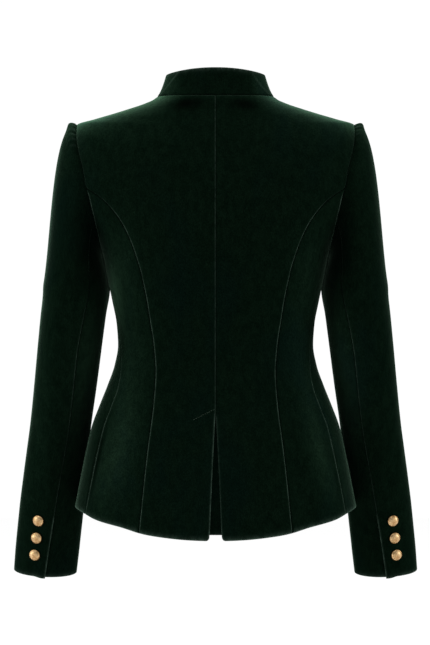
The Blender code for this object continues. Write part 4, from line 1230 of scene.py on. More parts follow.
@dataclass
class Sleeves:
    """The two-piece sleeves, gathered at the head and slit at the cuff."""

    shape: SleeveShape
    per_degree: float = 0.87
    seam_turn: float = -0.0006
    slit_top: float = 0.832
    slit_lap: float = 6.0 * MM
    slit_lift: float = 1.9 * MM
    slit_drop: float = 1.6 * MM
    gather_depth: float = 0.78 * MM
    gather_fade: float = 10.0 * MM
    gather_count: float = 46.0
    gather_wave: tuple[float, float] = (0.8, 7.0)
    gather_second: tuple[float, float, float] = (0.5, 29.0, 1.3)
    gather_start: float = 3.0 * MM
    gather_shine: float = 0.7
    right_shift: float = 0.11
    head_turn: float = 56.0
    head_fade: float = 30.0
    joined_rows: int = 14
    joined_width: float = 5.0 * MM
    cap_rows: int = 62
    tube_rows: int = 143
    first_rows: tuple[float, ...] = (0.0, 0.0012, 0.003, 0.0055, 0.009, 0.014, 0.02, 0.027)
    first_rows_share: float = 0.55
    around: float = 46.0 * MM
    cuff_around: float = 44.0 * MM
    slit_around: float = 43.0 * MM
    crease_ramps: tuple[float, float, float] = (0.05, 0.86, 0.08)
    seam_shine: tuple[float, float, float] = (0.03, 0.42, 0.36)
    seam_shine_from: tuple[float, float] = (0.30, 0.10)
    seam_shine_fade: tuple[float, float, float] = (0.4, 0.5, 0.3)
    slit_ramp: float = 0.012
    slit_sink: float = 0.35 * MM
    drop_ramp: tuple[float, float] = (0.93, 0.07)
    lap_ramp: tuple[float, float] = (17.0 * MM, 13.0 * MM)
    sink_ramp: tuple[float, float] = (14.0 * MM, 12.0 * MM)

    def downs(self) -> Array:
        """How far down each row lies, close together at the armhole and the cuff."""
        near = np.array(self.first_rows) / self.first_rows_share
        cap = np.concatenate((near, np.linspace(near[-1], 1.0, self.cap_rows)[1:])) * CAP_SHARE
        tube = CAP_SHARE + (1.0 - CAP_SHARE) * np.linspace(0.0, 1.0, self.tube_rows)[1:]
        ends = 1.0 - EDGE_OFFSETS[::-1] / self.shape.length
        return np.concatenate((cap, tube[tube < ends[0] - 0.001], ends))

    def gathers(self, psi: Array, away: Array) -> Array:
        """Small gathers where the head is eased into the armhole."""
        turn = half_turned(np.degrees(psi))
        sway, sways = self.gather_wave
        depth, count, shift = self.gather_second
        wave = np.sin(self.gather_count * psi + sway * np.sin(sways * psi))
        wave = wave + depth * np.sin(count * psi + shift)
        spread = smoothstep((self.head_turn - np.abs(turn)) / self.head_fade)
        rise = smoothstep(away / self.gather_start) * np.exp(-away / self.gather_fade)
        return self.gather_depth * wave * spread * rise

    def seam_line(self, downs: Array, slit: Array) -> Array:
        """The painted highlight on the hind seam: faint on the cap, clear at the elbow, clear again at the
        slit.
        """
        least, at_elbow, at_slit = self.seam_shine
        (start, ramp), (share, fade, fade_ramp) = self.seam_shine_from, self.seam_shine_fade
        seam = smoothstep((downs - start) / ramp) * (1.0 - share * smoothstep((downs - fade) / fade_ramp))
        return least + at_elbow * seam + at_slit * slit

    def piece(self, name: str, start: Line, end: Line, side: Side, upper: bool) -> Cloth:
        """One of a sleeve's two pieces.

        Args:
            name: The piece's name.
            start: Turn of its first edge at each height.
            end: Turn of its last edge.
            side: The side that the sleeve is on.
            upper: Whether this is the upper piece, which laps over at the slit.

        Returns:
            The piece as cloth.
        """
        downs = self.downs()
        slit = smoothstep((downs - self.slit_top) / self.slit_ramp)
        first, last = start(downs), end(downs)
        if not upper:
            first = first - slit * self.slit_lap / self.slit_around
        shares = edge_steps(self.around * (last - first), CELL)
        psi = first[:, None] * (1.0 - shares) + last[:, None] * shares
        down = np.broadcast_to(downs[:, None], psi.shape).copy()
        points = self.shape.point(psi, down)
        normals = self.shape.normal(psi, down)
        away = np.linalg.norm(points - points[:1], axis=-1)
        joined = smoothstep(away / self.joined_width)
        at_body = self.shape.armhole(psi[:self.joined_rows])[1]
        share = joined[:self.joined_rows, :, None]
        normals[:self.joined_rows] = unit(at_body * (1.0 - share) + normals[:self.joined_rows] * share)
        creases = LEFT_SLEEVE_CREASES if side is Side.LEFT else RIGHT_SLEEVE_CREASES
        turn = half_turned(np.degrees(psi))
        lift = crease_height(creases, turn, -down * self.shape.length / MM, self.per_degree)
        fade_in, stop, fade_out = self.crease_ramps
        lift = lift * smoothstep(down / fade_in) * smoothstep((stop - down) / fade_out)
        gathers = self.gathers(psi if side is Side.LEFT else psi + self.right_shift, away)
        lift = lift + gathers + self.shape.armhole_lift(psi[0], side) * (1.0 - joined)
        edges: dict[str, Array | float] = {}
        if upper:
            near, (reach, ramp) = (last[:, None] - psi) * self.cuff_around, self.lap_ramp
            lap = slit[:, None] * smoothstep((reach - near) / ramp)
            lift = lift + self.slit_lift * lap
            low = smoothstep((downs - self.drop_ramp[0]) / self.drop_ramp[1])[:, None]
            drop = self.slit_drop * lap * low
            points = points - drop[..., None] * np.array((0.0, 0.0, 1.0))
            edges.update(high_fold=slit, high_line=self.seam_line(downs, slit))
        else:
            near, (reach, ramp) = (psi - first[:, None]) * self.cuff_around, self.sink_ramp
            lift = lift - self.slit_sink * slit[:, None] * smoothstep((reach - near) / ramp)
            edges.update(low_fold=slit, low_line=-0.6)
        # The gathers' crests get a painted highlight and their hollows painted shade
        return Cloth(
            name, points, normals, lift, bottom_fold=0.0, top_fold=1.0, bottom_line=-0.15, top_line=0.8,
            tone=0.92, gloss=gathers / self.gather_depth * self.gather_shine, brushed=SLEEVE_PAINTED_LIGHT,
            mirrored=side is Side.RIGHT, **edges,
        )

    def cloths(self) -> list[tuple[Cloth, str]]:
        """The upper and under pieces of both sleeves."""
        def edge(seam: Line, turns: float, gap: float) -> Line:
            """A reader of a piece's edge: its seam, whole turns on, with the gap."""
            def read(downs: Array) -> Array:
                """The edge's turn at each height."""
                return seam(downs) + turns + gap
            return read

        hind, fore, gap = self.shape.hind, self.shape.fore, self.seam_turn
        made = []
        for side in Side:
            for word, start, end in (
                ("upper", edge(fore, -TAU, gap), edge(hind, 0.0, -gap)),
                ("under", edge(hind, 0.0, gap), edge(fore, 0.0, -gap)),
            ):
                node = f"{word}_sleeve_{side.name.lower()}"
                made.append((self.piece(f"velvet_{node}", start, end, side, word == "upper"), node))
        return made


class Nodes:
    """A short way to write a node tree."""

    def __init__(self, tree: bpy.types.NodeTree) -> None:
        """Keeps the tree."""
        self.tree = tree

    def add(self, kind: str, inputs: dict | None = None, **props: object) -> bpy.types.Node:
        """Adds a node.

        Args:
            kind: The node's type.
            inputs: Values or sockets for its inputs, by name or number.
            **props: The node's own settings.

        Returns:
            The node.
        """
        node = self.tree.nodes.new(kind)
        for name, value in props.items():
            setattr(node, name, value)
        self.fill(node, inputs or {})
        return node

    def fill(self, node: bpy.types.Node, inputs: dict) -> None:
        """Sets a node's inputs to values, or links sockets to them."""
        for name, value in inputs.items():
            if isinstance(value, Socket):
                self.tree.links.new(value, node.inputs[name])
            else:
                node.inputs[name].default_value = value

    def math(self, operation: str, a: object, b: object, clamp: bool = False) -> Socket:
        """A sum of two numbers or sockets."""
        return self.add("ShaderNodeMath", {0: a, 1: b}, operation=operation, use_clamp=clamp).outputs[0]

    def vector(self, operation: str, inputs: dict) -> Socket:
        """A sum of vectors."""
        return self.add("ShaderNodeVectorMath", inputs, operation=operation).outputs[0]

    def joined(self, x: object, y: object, z: object) -> Socket:
        """A vector made of three values."""
        return self.add("ShaderNodeCombineXYZ", {0: x, 1: y, 2: z}).outputs[0]

    def ramp(self, value: Socket, low: float, high: float, to_low: float = 0.0,
             to_high: float = 1.0) -> Socket:
        """A value moved smoothly from one range to another."""
        inputs = {"Value": value, "From Min": low, "From Max": high, "To Min": to_low, "To Max": to_high}
        return self.add("ShaderNodeMapRange", inputs, interpolation_type="SMOOTHSTEP").outputs[0]

    def mix(self, factor: object, a: object, b: object) -> Socket:
        """A colour between two others."""
        return self.add("ShaderNodeMix", {0: factor, 6: a, 7: b}, data_type="RGBA").outputs[2]

    def attribute(self, name: str) -> Socket:
        """A value that the mesh holds at each point."""
        return self.add("ShaderNodeAttribute", attribute_name=name).outputs["Fac"]

    def bump(self, strength: float, distance: float, height: Socket) -> Socket:
        """A normal that follows a height."""
        inputs = {"Strength": strength, "Distance": distance, "Height": height}
        return self.add("ShaderNodeBump", inputs).outputs[0]


def colour(red: float, green: float, blue: float) -> Colour:
    """A linear colour with full cover."""
    return red, green, blue, 1.0


def mottle_group() -> bpy.types.ShaderNodeTree:
    """Uneven soft patches and fine grain, for cloth, metal and the floor."""
    tree = bpy.data.node_groups.new("soft_mottle", "ShaderNodeTree")
    kind = "NodeSocketFloat"
    for name, default in (("Patch Size", 0.02), ("Grain Size", 0.0015), ("Stretch", 0.6)):
        tree.interface.new_socket(name, in_out="INPUT", socket_type=kind).default_value = default
    for name in ("Patch", "Grain", "Height"):
        tree.interface.new_socket(name, in_out="OUTPUT", socket_type=kind)
    nodes = Nodes(tree)
    given = nodes.add("NodeGroupInput")
    place = nodes.add("ShaderNodeTexCoord").outputs["Object"]
    place = nodes.vector("MULTIPLY", {0: place, 1: nodes.joined(1.0, 1.0, given.outputs["Stretch"])})
    patch_scale = nodes.math("DIVIDE", 1.0, given.outputs["Patch Size"])
    patch = nodes.add("ShaderNodeTexNoise", {"Vector": place, "Scale": patch_scale, "Detail": 4.0,
                                             "Roughness": 0.62, "Distortion": 0.35}).outputs[0]
    grain_scale = nodes.math("DIVIDE", 1.0, given.outputs["Grain Size"])
    grain = nodes.add("ShaderNodeTexNoise", {"Vector": place, "Scale": grain_scale, "Detail": 2.0,
                                             "Roughness": 0.7}).outputs[0]
    height = nodes.math("ADD", nodes.math("MULTIPLY", patch, 0.6), nodes.math("MULTIPLY", grain, 0.4))
    nodes.add("NodeGroupOutput", {"Patch": patch, "Grain": grain, "Height": height})
    return tree


@dataclass(frozen=True)
class Finish:
    """What every finish has: a name and the mottle that it shares with the others."""

    name: str
    mottle: bpy.types.ShaderNodeTree

    def start(self) -> tuple[Material, Nodes, bpy.types.Node]:
        """A new material with its tree and its shader."""
        material = bpy.data.materials.new(self.name)
        material.use_nodes = True
        return material, Nodes(material.node_tree), material.node_tree.nodes["Principled BSDF"]

    def patches(self, nodes: Nodes, patch: float, grain: float, stretch: float) -> tuple[Socket, ...]:
        """Patches, grain and height of the shared mottle, with this finish's sizes."""
        inputs = {"Patch Size": patch, "Grain Size": grain, "Stretch": stretch}
        return tuple(nodes.add("ShaderNodeGroup", inputs, node_tree=self.mottle).outputs)


@dataclass(frozen=True)
class VelvetFinish(Finish):
    """The pile side: very dark, with sheen where it is seen edge-on, painted highlights along seams and
    edges, painted shade beside some of them, and patches of painted light and shade.
    """

    deep: Colour = colour(0.00044, 0.00162, 0.00086)
    lifted: Colour = colour(0.00070, 0.00228, 0.00120)
    cool: Colour = colour(0.00040, 0.00172, 0.00130)
    # Colour of the painted highlight along seams and edges
    line: Colour = colour(0.0195, 0.0315, 0.0240)
    shade: Colour = colour(0.0002, 0.0006, 0.0004)
    # Warm tint added where painted light lifts the pile past plain
    warmth: tuple[float, float, float] = (0.00036, 0.00026, 0.00022)
    fine: tuple[float, float, float] = (0.009, 0.0016, 0.6)
    wide: tuple[float, float, float] = (0.11, 0.006, 0.5)
    nap: Span = (0.36, 0.64, 0.0, 1.0)
    coolness: Span = (0.48, 0.70, 0.0, 0.6)
    speck: Span = (0.34, 0.68, 0.76, 1.26)
    wear: Span = (0.30, 0.66, 0.35, 1.0)
    roughness: Span = (0.3, 0.7, 0.86, 0.98)
    bump: tuple[float, float] = (0.6, 0.0010)
    sheen: float = 0.085
    sheen_roughness: float = 0.28
    sheen_tint: Colour = colour(0.36, 0.62, 0.44)

    def build(self) -> Material:
        """Makes the material."""
        material, nodes, shader = self.start()
        patch, grain, height = self.patches(nodes, *self.fine)
        wide_patch, wide_grain, _ = self.patches(nodes, *self.wide)
        ground = nodes.mix(nodes.ramp(patch, *self.nap), self.deep, self.lifted)
        ground = nodes.mix(nodes.ramp(wide_patch, *self.coolness), ground, self.cool)
        # Fine grain times the tone with its patches of painted light and painted shade
        speck = nodes.math("MULTIPLY", nodes.ramp(grain, *self.speck), nodes.attribute("nap"))
        ground = nodes.vector("SCALE", {0: ground, "Scale": speck})
        # How far painted light lifts the pile past plain, which gets the warm tint
        paler = nodes.math("MAXIMUM", nodes.math("SUBTRACT", speck, 1.0), 0.0)
        paler = nodes.joined(paler, paler, paler)
        ground = nodes.vector("MULTIPLY_ADD", {0: self.warmth, 1: paler, 2: ground})
        # Painted highlight along seams and edges, broken up by wide grain; below 0 it is painted shade
        line = nodes.attribute("line")
        worn = nodes.math("MULTIPLY", line, nodes.ramp(wide_grain, *self.wear), True)
        ground = nodes.mix(worn, ground, self.line)
        ground = nodes.mix(nodes.math("MULTIPLY", line, -1.0, True), ground, self.shade)
        nodes.fill(shader, {
            "Base Color": ground, "Roughness": nodes.ramp(patch, *self.roughness),
            "Normal": nodes.bump(*self.bump, height), "Specular IOR Level": 0.0, "Sheen Weight": self.sheen,
            "Sheen Roughness": self.sheen_roughness, "Sheen Tint": self.sheen_tint,
        })
        return material


@dataclass(frozen=True)
class WrongSideFinish(Finish):
    """The woven back of the velvet, seen inside the jacket."""

    dark: Colour = colour(0.0028, 0.0098, 0.0062)
    light: Colour = colour(0.0068, 0.0200, 0.0130)
    thread: float = 1.1 * MM
    waves_per_thread: float = 0.314
    slant: tuple[float, float, float] = (0.0, 0.0, 0.9)
    sizes: tuple[float, float, float] = (0.03, 0.0012, 1.0)
    worn: Span = (0.3, 0.7, 0.6, 1.0)
    roughness: Span = (0.3, 0.7, 0.8, 0.95)
    bump: tuple[float, float] = (0.3, 0.0004)
    specular: float = 0.08

    def build(self) -> Material:
        """Makes the material."""
        material, nodes, shader = self.start()
        place = nodes.add("ShaderNodeUVMap", uv_map="cut").outputs[0]
        place = nodes.add("ShaderNodeMapping", {"Vector": place, "Rotation": self.slant}).outputs[0]
        scale = self.waves_per_thread / self.thread
        inputs = {"Vector": place, "Scale": scale, "Distortion": 0.6, "Detail": 1.0}
        twill = nodes.add("ShaderNodeTexWave", inputs).outputs[1]
        patch, grain, _ = self.patches(nodes, *self.sizes)
        pattern = nodes.math("MULTIPLY", twill, nodes.ramp(grain, *self.worn))
        nodes.fill(shader, {
            "Base Color": nodes.mix(pattern, self.dark, self.light),
            "Normal": nodes.bump(*self.bump, pattern),
            "Roughness": nodes.ramp(patch, *self.roughness), "Specular IOR Level": self.specular,
        })
        return material


@dataclass(frozen=True)
class GoldFinish(Finish):
    """Antique gold with a soft satin polish, painted shade on the dome's lower side and darker painted
    shade round the rim.
    """

    bright: Colour = colour(0.255, 0.175, 0.092)
    deep: Colour = colour(0.150, 0.092, 0.038)
    tarnished: Colour = colour(0.115, 0.056, 0.018)
    black: Colour = colour(0.020, 0.011, 0.005)
    sizes: tuple[float, float, float] = (0.005, 0.0009, 1.0)
    polish: Span = (0.28, 0.56, 0.0, 1.0)
    roughness: Span = (0.3, 0.7, 0.42, 0.56)
    bump: tuple[float, float] = (0.35, 0.0006)

    def build(self) -> Material:
        """Makes the material."""
        material, nodes, shader = self.start()
        patch, grain, _ = self.patches(nodes, *self.sizes)
        tone = nodes.mix(nodes.ramp(patch, *self.polish), self.deep, self.bright)
        # Painted shade on the dome's lower side, then darker painted shade round the rim
        tarnish = nodes.attribute("tarnish")
        tone = nodes.mix(nodes.ramp(tarnish, 0.0, 1.0), tone, self.tarnished)
        tone = nodes.mix(nodes.ramp(tarnish, 1.0, 2.0), tone, self.black)
        nodes.fill(shader, {
            "Base Color": tone, "Roughness": nodes.ramp(grain, *self.roughness),
            "Normal": nodes.bump(*self.bump, patch), "Metallic": 1.0,
        })
        return material


@dataclass(frozen=True)
class ThreadFinish(Finish):
    """Tonal sewing thread."""

    dark: Colour = colour(0.003, 0.008, 0.004)
    light: Colour = colour(0.008, 0.017, 0.009)
    sizes: tuple[float, float, float] = (0.004, 0.0005, 1.0)
    dyed: Span = (0.3, 0.7, 0.0, 1.0)
    roughness: Span = (0.3, 0.7, 0.5, 0.75)
    specular: float = 0.15

    def build(self) -> Material:
        """Makes the material."""
        material, nodes, shader = self.start()
        patch, grain, _ = self.patches(nodes, *self.sizes)
        nodes.fill(shader, {
            "Base Color": nodes.mix(nodes.ramp(grain, *self.dyed), self.dark, self.light),
            "Roughness": nodes.ramp(patch, *self.roughness), "Specular IOR Level": self.specular,
        })
        return material


@dataclass(frozen=True)
class FloorFinish(Finish):
    """The plain pale floor."""

    pale: Colour = colour(0.93, 0.93, 0.93)
    paler: Colour = colour(0.96, 0.96, 0.96)
    sizes: tuple[float, float, float] = (0.8, 0.05, 1.0)

    def build(self) -> Material:
        """Makes the material."""
        material, nodes, shader = self.start()
        ground = nodes.mix(self.patches(nodes, *self.sizes)[0], self.pale, self.paler)
        nodes.fill(shader, {"Base Color": ground, "Roughness": 0.9, "Specular IOR Level": 0.0})
        return material


@dataclass
class Button:
    """A domed metal button with a plain raised rim."""

    radius: float
    segments: int = 56
    profile: tuple[tuple[float, float], ...] = (
        (0.0, 0.0), (0.60, 0.0), (0.84, 0.0), (0.93, 0.02), (0.985, 0.07), (1.0, 0.13), (0.99, 0.185),
        (0.955, 0.215), (0.915, 0.21), (0.885, 0.205), (0.865, 0.235), (0.82, 0.30), (0.74, 0.38),
        (0.62, 0.455), (0.47, 0.51), (0.30, 0.545), (0.14, 0.558), (0.0, 0.562),
    )
    # A patch of painted shade on the dome's lower side, and darker painted shade round the rim
    worn_at: tuple[float, float] = (-0.08, -0.34)
    worn_spread: float = 0.34
    worn: float = 0.65
    rim_dark: float = 1.9
    rim_ramp: tuple[float, float] = (0.90, 0.10)

    def build(self, name: str, seat: Array, normal: Array, material: Material) -> bpy.types.Object:
        """Turns the button about its own axis.

        Args:
            name: The piece's name.
            seat: Where its back lies, in metres.
            normal: The way that it faces.
            material: Its finish.

        Returns:
            The piece.
        """
        normal = unit(np.asarray(normal, float))
        side = unit(np.cross(normal, np.array((0.0, 0.0, 1.0))))
        up = np.cross(side, normal)
        mesh = bmesh.new()
        rings: list[list[bmesh.types.BMVert]] = []
        angles = np.arange(self.segments) * TAU / self.segments
        for out, height in self.profile:
            centre = seat + normal * height * self.radius
            spokes = [side * np.cos(a) + up * np.sin(a) for a in angles] if out else [side]
            rings.append([mesh.verts.new(centre + out * self.radius * spoke) for spoke in spokes])
        for lower, upper in zip(rings, rings[1:]):
            for i in range(self.segments):
                j = (i + 1) % self.segments
                corners = ((lower, i), (lower, j), (upper, j), (upper, i))
                mesh.faces.new(tuple(dict.fromkeys(ring[at % len(ring)] for ring, at in corners)))
        bmesh.ops.recalc_face_normals(mesh, faces=mesh.faces)
        data = bpy.data.meshes.new(name)
        mesh.to_mesh(data)
        mesh.free()
        data.shade_smooth()
        # The dome's lower side and its rim get painted shade
        away = (np.array([vertex.co for vertex in data.vertices]) - seat) / self.radius
        across, rise = away @ side, away @ up
        off = (across - self.worn_at[0]) ** 2 + (rise - self.worn_at[1]) ** 2
        dark = smoothstep((np.hypot(across, rise) - self.rim_ramp[0]) / self.rim_ramp[1])
        give(data, "tarnish", "FLOAT", self.worn * np.exp(-off / self.worn_spread) + self.rim_dark * dark)
        data.materials.append(material)
        return placed(name, data)


@dataclass
class Buttons:
    """Three buttons on each cuff and six down the front."""

    body: BodyShape
    sleeve: SleeveShape
    cuff: Button = field(default_factory=lambda: Button(8.0 * MM))
    front: Button = field(default_factory=lambda: Button(9.0 * MM))
    cuff_angle: float = 71.0
    cuff_heights: tuple[float, ...] = (83.0 * MM, 57.3 * MM, 32.0 * MM)
    front_top: float = -80.0 * MM
    front_low: float = -372.0 * MM
    front_count: int = 6
    cuff_seat: float = 0.3 * MM
    front_seat: float = 3.4 * MM

    def front_places(self) -> list[tuple[Array, Array]]:
        """Seat and facing of each front button."""
        phi = np.array(-np.pi / 2)
        levels = self.body.side_level(np.linspace(self.front_top, self.front_low, self.front_count))
        return [(self.body.point(phi, z), self.body.normal(phi, np.array(z))) for z in levels]

    def build(self, material: Material) -> list[tuple[bpy.types.Object, str]]:
        """All the buttons, each with the solid that it stands for."""
        made = []
        psi = np.array(np.radians(self.cuff_angle))
        for number, height in enumerate(self.cuff_heights, start=1):
            down = np.array(1.0 - height / self.sleeve.length)
            normal = self.sleeve.normal(psi, down)
            seat = self.sleeve.point(psi, down) + normal * self.cuff_seat
            for side in Side:
                way = np.array((float(side.value), 1.0, 1.0))
                word = f"cuff_button_{side.name.lower()}_{number}"
                made.append((self.cuff.build(f"gold_{word}", seat * way, normal * way, material), word))
        for number, (seat, normal) in enumerate(self.front_places(), start=1):
            word, seat = f"front_button_{number}", seat + normal * self.front_seat
            made.append((self.front.build(f"gold_{word}", seat, normal, material), word))
        return made


@dataclass
class StitchWork:
    """Stitches laid one by one on given places by a Geometry Nodes tree."""

    material: Material

    def tree(self) -> bpy.types.GeometryNodeTree:
        """The tree: a stitch on each point, turned to the point's own directions."""
        tree = bpy.data.node_groups.new("laid_stitches", "GeometryNodeTree")
        face = tree.interface
        face.new_socket("Places", in_out="INPUT", socket_type="NodeSocketGeometry")
        for name, value in (("Length", 0.003), ("Thickness", 0.0004)):
            face.new_socket(name, in_out="INPUT", socket_type="NodeSocketFloat").default_value = value
        face.new_socket("Thread", in_out="INPUT", socket_type="NodeSocketMaterial")
        face.new_socket("Stitches", in_out="OUTPUT", socket_type="NodeSocketGeometry")
        nodes = Nodes(tree)
        given = nodes.add("NodeGroupInput")
        bead = nodes.add("GeometryNodeMeshUVSphere", {"Segments": 8, "Rings": 5, "Radius": 0.5}).outputs[0]
        places, length, thickness, thread = given.outputs[:4]
        size = nodes.joined(length, thickness, thickness)
        kind, align = "GeometryNodeInputNamedAttribute", "FunctionNodeAlignRotationToVector"
        aim = nodes.add(kind, {"Name": "aim"}, data_type="FLOAT_VECTOR").outputs[0]
        out = nodes.add(kind, {"Name": "out"}, data_type="FLOAT_VECTOR").outputs[0]
        turn = nodes.add(align, {"Vector": aim}, axis="X").outputs[0]
        turn = nodes.add(align, {"Rotation": turn, "Vector": out}, axis="Z", pivot_axis="X").outputs[0]
        inputs = {"Points": places, "Instance": bead, "Rotation": turn, "Scale": size}
        laid = nodes.add("GeometryNodeInstanceOnPoints", inputs).outputs[0]
        real = nodes.add("GeometryNodeRealizeInstances", {"Geometry": laid}).outputs[0]
        dyed = nodes.add("GeometryNodeSetMaterial", {"Geometry": real, "Material": thread}).outputs[0]
        nodes.add("NodeGroupOutput", {0: dyed})
        return tree

    def lay(self, name: str, tree: bpy.types.GeometryNodeTree, places: Array, aims: Array, outs: Array,
            length: float, thickness: float) -> bpy.types.Object:
        """Lays stitches and makes them a plain mesh.

        Args:
            name: The piece's name.
            tree: The stitch tree.
            places: Middle of each stitch.
            aims: The way that each stitch runs.
            outs: The way out of the cloth at each stitch.
            length: Length of a stitch.
            thickness: Thickness of the thread.

        Returns:
            The piece.
        """
        mesh = bpy.data.meshes.new(name + "_places")
        mesh.from_pydata(places.tolist(), [], [])
        give(mesh, "aim", "FLOAT_VECTOR", aims)
        give(mesh, "out", "FLOAT_VECTOR", outs)
        holder = placed(name + "_places", mesh)
        modifier = holder.modifiers.new("stitches", "NODES")
        modifier.node_group = tree
        for item in tree.interface.items_tree:
            value = {"Length": length, "Thickness": thickness, "Thread": self.material}.get(item.name)
            if value is not None:
                modifier[item.identifier] = value
        graph = bpy.context.evaluated_depsgraph_get()
        laid = bpy.data.meshes.new_from_object(holder.evaluated_get(graph))
        bpy.data.objects.remove(holder)
        laid.shade_smooth()
        return placed(name, laid)


@dataclass
class Sewing:
    """The sewing that shows: the tack across the vent's top and the front buttonholes."""

    body: BodyShape
    buttons: Buttons
    work: StitchWork
    tack_start: tuple[float, float] = (1.0 * MM, -435.4 * MM)
    tack_end: tuple[float, float] = (30.2 * MM, -449.6 * MM)
    tack_stitch: float = 2.7 * MM
    tack_pitch: float = 1.12
    tack_thread: float = 0.55 * MM
    tack_lift: float = 0.1 * MM
    purl_thread: float = 0.8 * MM
    aim_step: float = 0.5 * MM
    rounds: int = 12
    hole_inner: float = -20.0 * MM
    hole_outer: float = 3.5 * MM
    hole_half: float = 0.5 * MM
    purl_step: float = 0.85 * MM
    purl_length: float = 1.9 * MM
    lap: float = 2.9 * MM

    def on_back(self, x: Array, z: Array) -> tuple[Array, Array]:
        """Points and normals of the back at given X and Z."""
        phi, side_z = np.full(x.shape, np.pi / 2), np.array(z)
        for _ in range(self.rounds):
            point = self.body.point(phi, side_z)
            phi = phi + (point[..., 0] - x) / np.hypot(point[..., 0], point[..., 1])
            side_z = side_z + (z - point[..., 2])
        return self.body.point(phi, side_z), self.body.normal(phi, side_z)

    def vent_tack(self, tree: bpy.types.GeometryNodeTree) -> bpy.types.Object:
        """The slanting row of stitches that holds the vent's underlap."""
        run = np.array(self.tack_end) - np.array(self.tack_start)
        count = int(np.hypot(*run) / (self.tack_stitch * self.tack_pitch))
        share = (np.arange(count) + 0.5) / count
        x, z = self.tack_start[0] + run[0] * share, self.tack_start[1] + run[1] * share
        places, outs = self.on_back(x, z)
        aims = unit(np.gradient(places, axis=0))
        places = places + outs * self.tack_lift
        return self.work.lay("thread_vent_tack", tree, places, aims, outs, self.tack_stitch,
                             self.tack_thread)

    def buttonholes(self, tree: bpy.types.GeometryNodeTree) -> bpy.types.Object:
        """The purled edges of the six buttonholes in the right front."""
        across = np.arange(self.hole_inner, self.hole_outer, self.purl_step)
        rows = []
        for seat, _ in self.buttons.front_places():
            phi = -np.pi / 2 + across / abs(float(seat[1]))
            level = float(self.body.side_level(seat[2]))
            for way in (-1.0, 1.0):
                side_z = np.full(across.shape, level + way * (self.hole_half + self.purl_length / 2.0))
                points, outs = self.body.point(phi, side_z), self.body.normal(phi, side_z)
                aims = unit(self.body.point(phi, side_z + self.aim_step) - points)
                rows.append((points + outs * self.lap, aims, outs))
        places, aims, outs = (np.concatenate(row) for row in zip(*rows))
        return self.work.lay("thread_buttonholes", tree, places, aims, outs, self.purl_length,
                             self.purl_thread)


@dataclass(frozen=True)
class SoftLight:
    """A wide soft light: its place and size in metres, and its power in watts."""

    name: str
    place: tuple[float, float, float]
    size: float
    power: float


@dataclass
class Studio:
    """Camera, soft white light and a plain pale floor."""

    distance: float = 3.0
    height: float = -0.31725
    lens: float = 118.75
    sensor: float = 36.0
    sight: float = 60.0
    shift: float = 0.000846
    floor_z: float = -1.42
    floor_half: float = 9.0
    sky: float = 1.02
    lit_point: tuple[float, float, float] = (0.0, 0.0, -0.32)
    soft_lights: tuple[SoftLight, ...] = (
        SoftLight("left_soft", (2.6, 0.7, 0.0), 1.5, 120.0),
        SoftLight("right_soft", (-2.6, 0.7, 0.0), 1.5, 108.0),
        SoftLight("top_soft", (0.3, 0.5, 2.1), 1.3, 80.0),
        SoftLight("rim_soft", (0.3, -1.3, 1.5), 1.2, 150.0),
    )

    def camera(self) -> None:
        """Looks level at the back of the jacket."""
        data = bpy.data.cameras.new("back_view")
        data.lens, data.sensor_width = self.lens, self.sensor
        data.clip_end = self.sight
        camera = placed("back_view", data)
        camera.location = (self.shift, self.distance, self.height)
        camera.rotation_euler = (np.pi / 2, 0.0, np.pi)
        bpy.context.scene.camera = camera

    def lights(self) -> None:
        """A white surround, soft lights left and right of the back, one overhead and one before."""
        world = bpy.data.worlds.new("white_surround")
        world.use_nodes = True
        background = world.node_tree.nodes["Background"]
        Nodes(world.node_tree).fill(background, {0: colour(1.0, 1.0, 1.0), 1: self.sky})
        bpy.context.scene.world = world
        for soft in self.soft_lights:
            data = bpy.data.lights.new(soft.name, "AREA")
            data.size, data.energy = soft.size, soft.power
            light = placed(soft.name, data)
            light.location = soft.place
            aim = Vector(self.lit_point) - Vector(soft.place)
            light.rotation_euler = aim.to_track_quat("-Z", "Y").to_euler()

    def floor(self, material: Material) -> None:
        """A wide floor at the height of the wearer's feet."""
        half = self.floor_half
        corners = [(x * half, y * half, self.floor_z) for x, y in ((-1, -1), (1, -1), (1, 1), (-1, 1))]
        mesh = bpy.data.meshes.new("pale_floor")
        mesh.from_pydata(corners, [], [(0, 1, 2, 3)])
        mesh.materials.append(material)
        placed("pale_floor", mesh)


NEIGHBOURS = {
    "back": ("collar", "side_back"), "side_back": ("back",), "side_front": ("front",), "front": ("collar",),
    "vent_underlap": ("back_left", "back_right"), "collar": ("back_left", "back_right"),
    "upper_sleeve": ("back", "front"), "under_sleeve": ("upper_sleeve",),
}


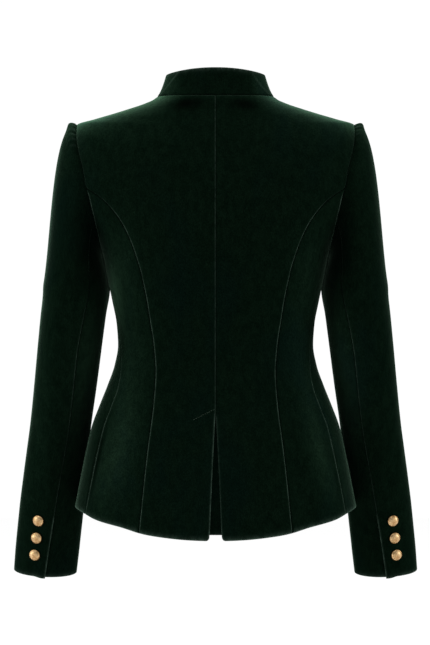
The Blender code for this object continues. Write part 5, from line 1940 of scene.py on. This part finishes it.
def rests_on(node: str) -> list[str]:
    """The nodes that a cloth piece hangs from."""
    if node in NEIGHBOURS:
        return list(NEIGHBOURS[node])
    plain, side = node.rsplit("_", 1)
    return [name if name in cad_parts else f"{name}_{side}" for name in NEIGHBOURS[plain]]


def log_faces(piece: bpy.types.Object) -> None:
    """Reports a finished piece."""
    LOG.info("%s: %d faces", piece.name, len(piece.data.polygons))


def dress_cloth(cloth: Cloth, node: str, materials: Sequence[Material],
                held: str = "hung", with_pieces: Sequence[bpy.types.Object] = ()) -> None:
    """Builds a cloth piece, hangs it under the root, hides the solid that it stands for and logs it."""
    piece = cloth.build(materials)
    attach(piece, "root")
    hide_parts(node)
    width, length, area = cloth.cut()
    rests_on(node)
    list(with_pieces)
    log_faces(piece)


def main() -> None:
    """Builds the jacket and the studio, piece by piece."""
    logging.basicConfig(level=logging.INFO, format="%(name)s %(message)s")
    bpy.context.scene.view_settings.view_transform = "Standard"
    mottle = mottle_group()
    velvet = VelvetFinish("velvet_face", mottle).build()
    wrong_side = WrongSideFinish("velvet_wrong_side", mottle).build()
    gold = GoldFinish("antique_gold_metal", mottle).build()
    thread = ThreadFinish("tonal_thread", mottle).build()
    body = BodyShape()
    sleeve = SleeveShape(body)
    panels = BodyPanels(body)
    buttons = Buttons(body, sleeve)
    work = StitchWork(thread)
    sewing = Sewing(body, buttons, work)
    tree = work.tree()
    tack, holes = sewing.vent_tack(tree), sewing.buttonholes(tree)
    for piece in (tack, holes):
        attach(piece, "root")
        log_faces(piece)
    goes_with = {"back_left": (tack,), "front_right": (holes,)}
    for cloth, node in [*panels.backs(), panels.underlap(), *panels.fronts(), *Sleeves(sleeve).cloths()]:
        dress_cloth(cloth, node, (velvet, wrong_side), with_pieces=goes_with.get(node, ()))
    dress_cloth(*StandCollar(body).cloth(), (velvet, wrong_side), held="stretched")
    for piece, node in buttons.build(gold):
        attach(piece, "root")
        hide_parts(node)
        log_faces(piece)
    studio = Studio()
    studio.camera()
    studio.lights()
    studio.floor(FloorFinish("pale_floor", mottle).build())


if __name__ == "__main__":
    main()
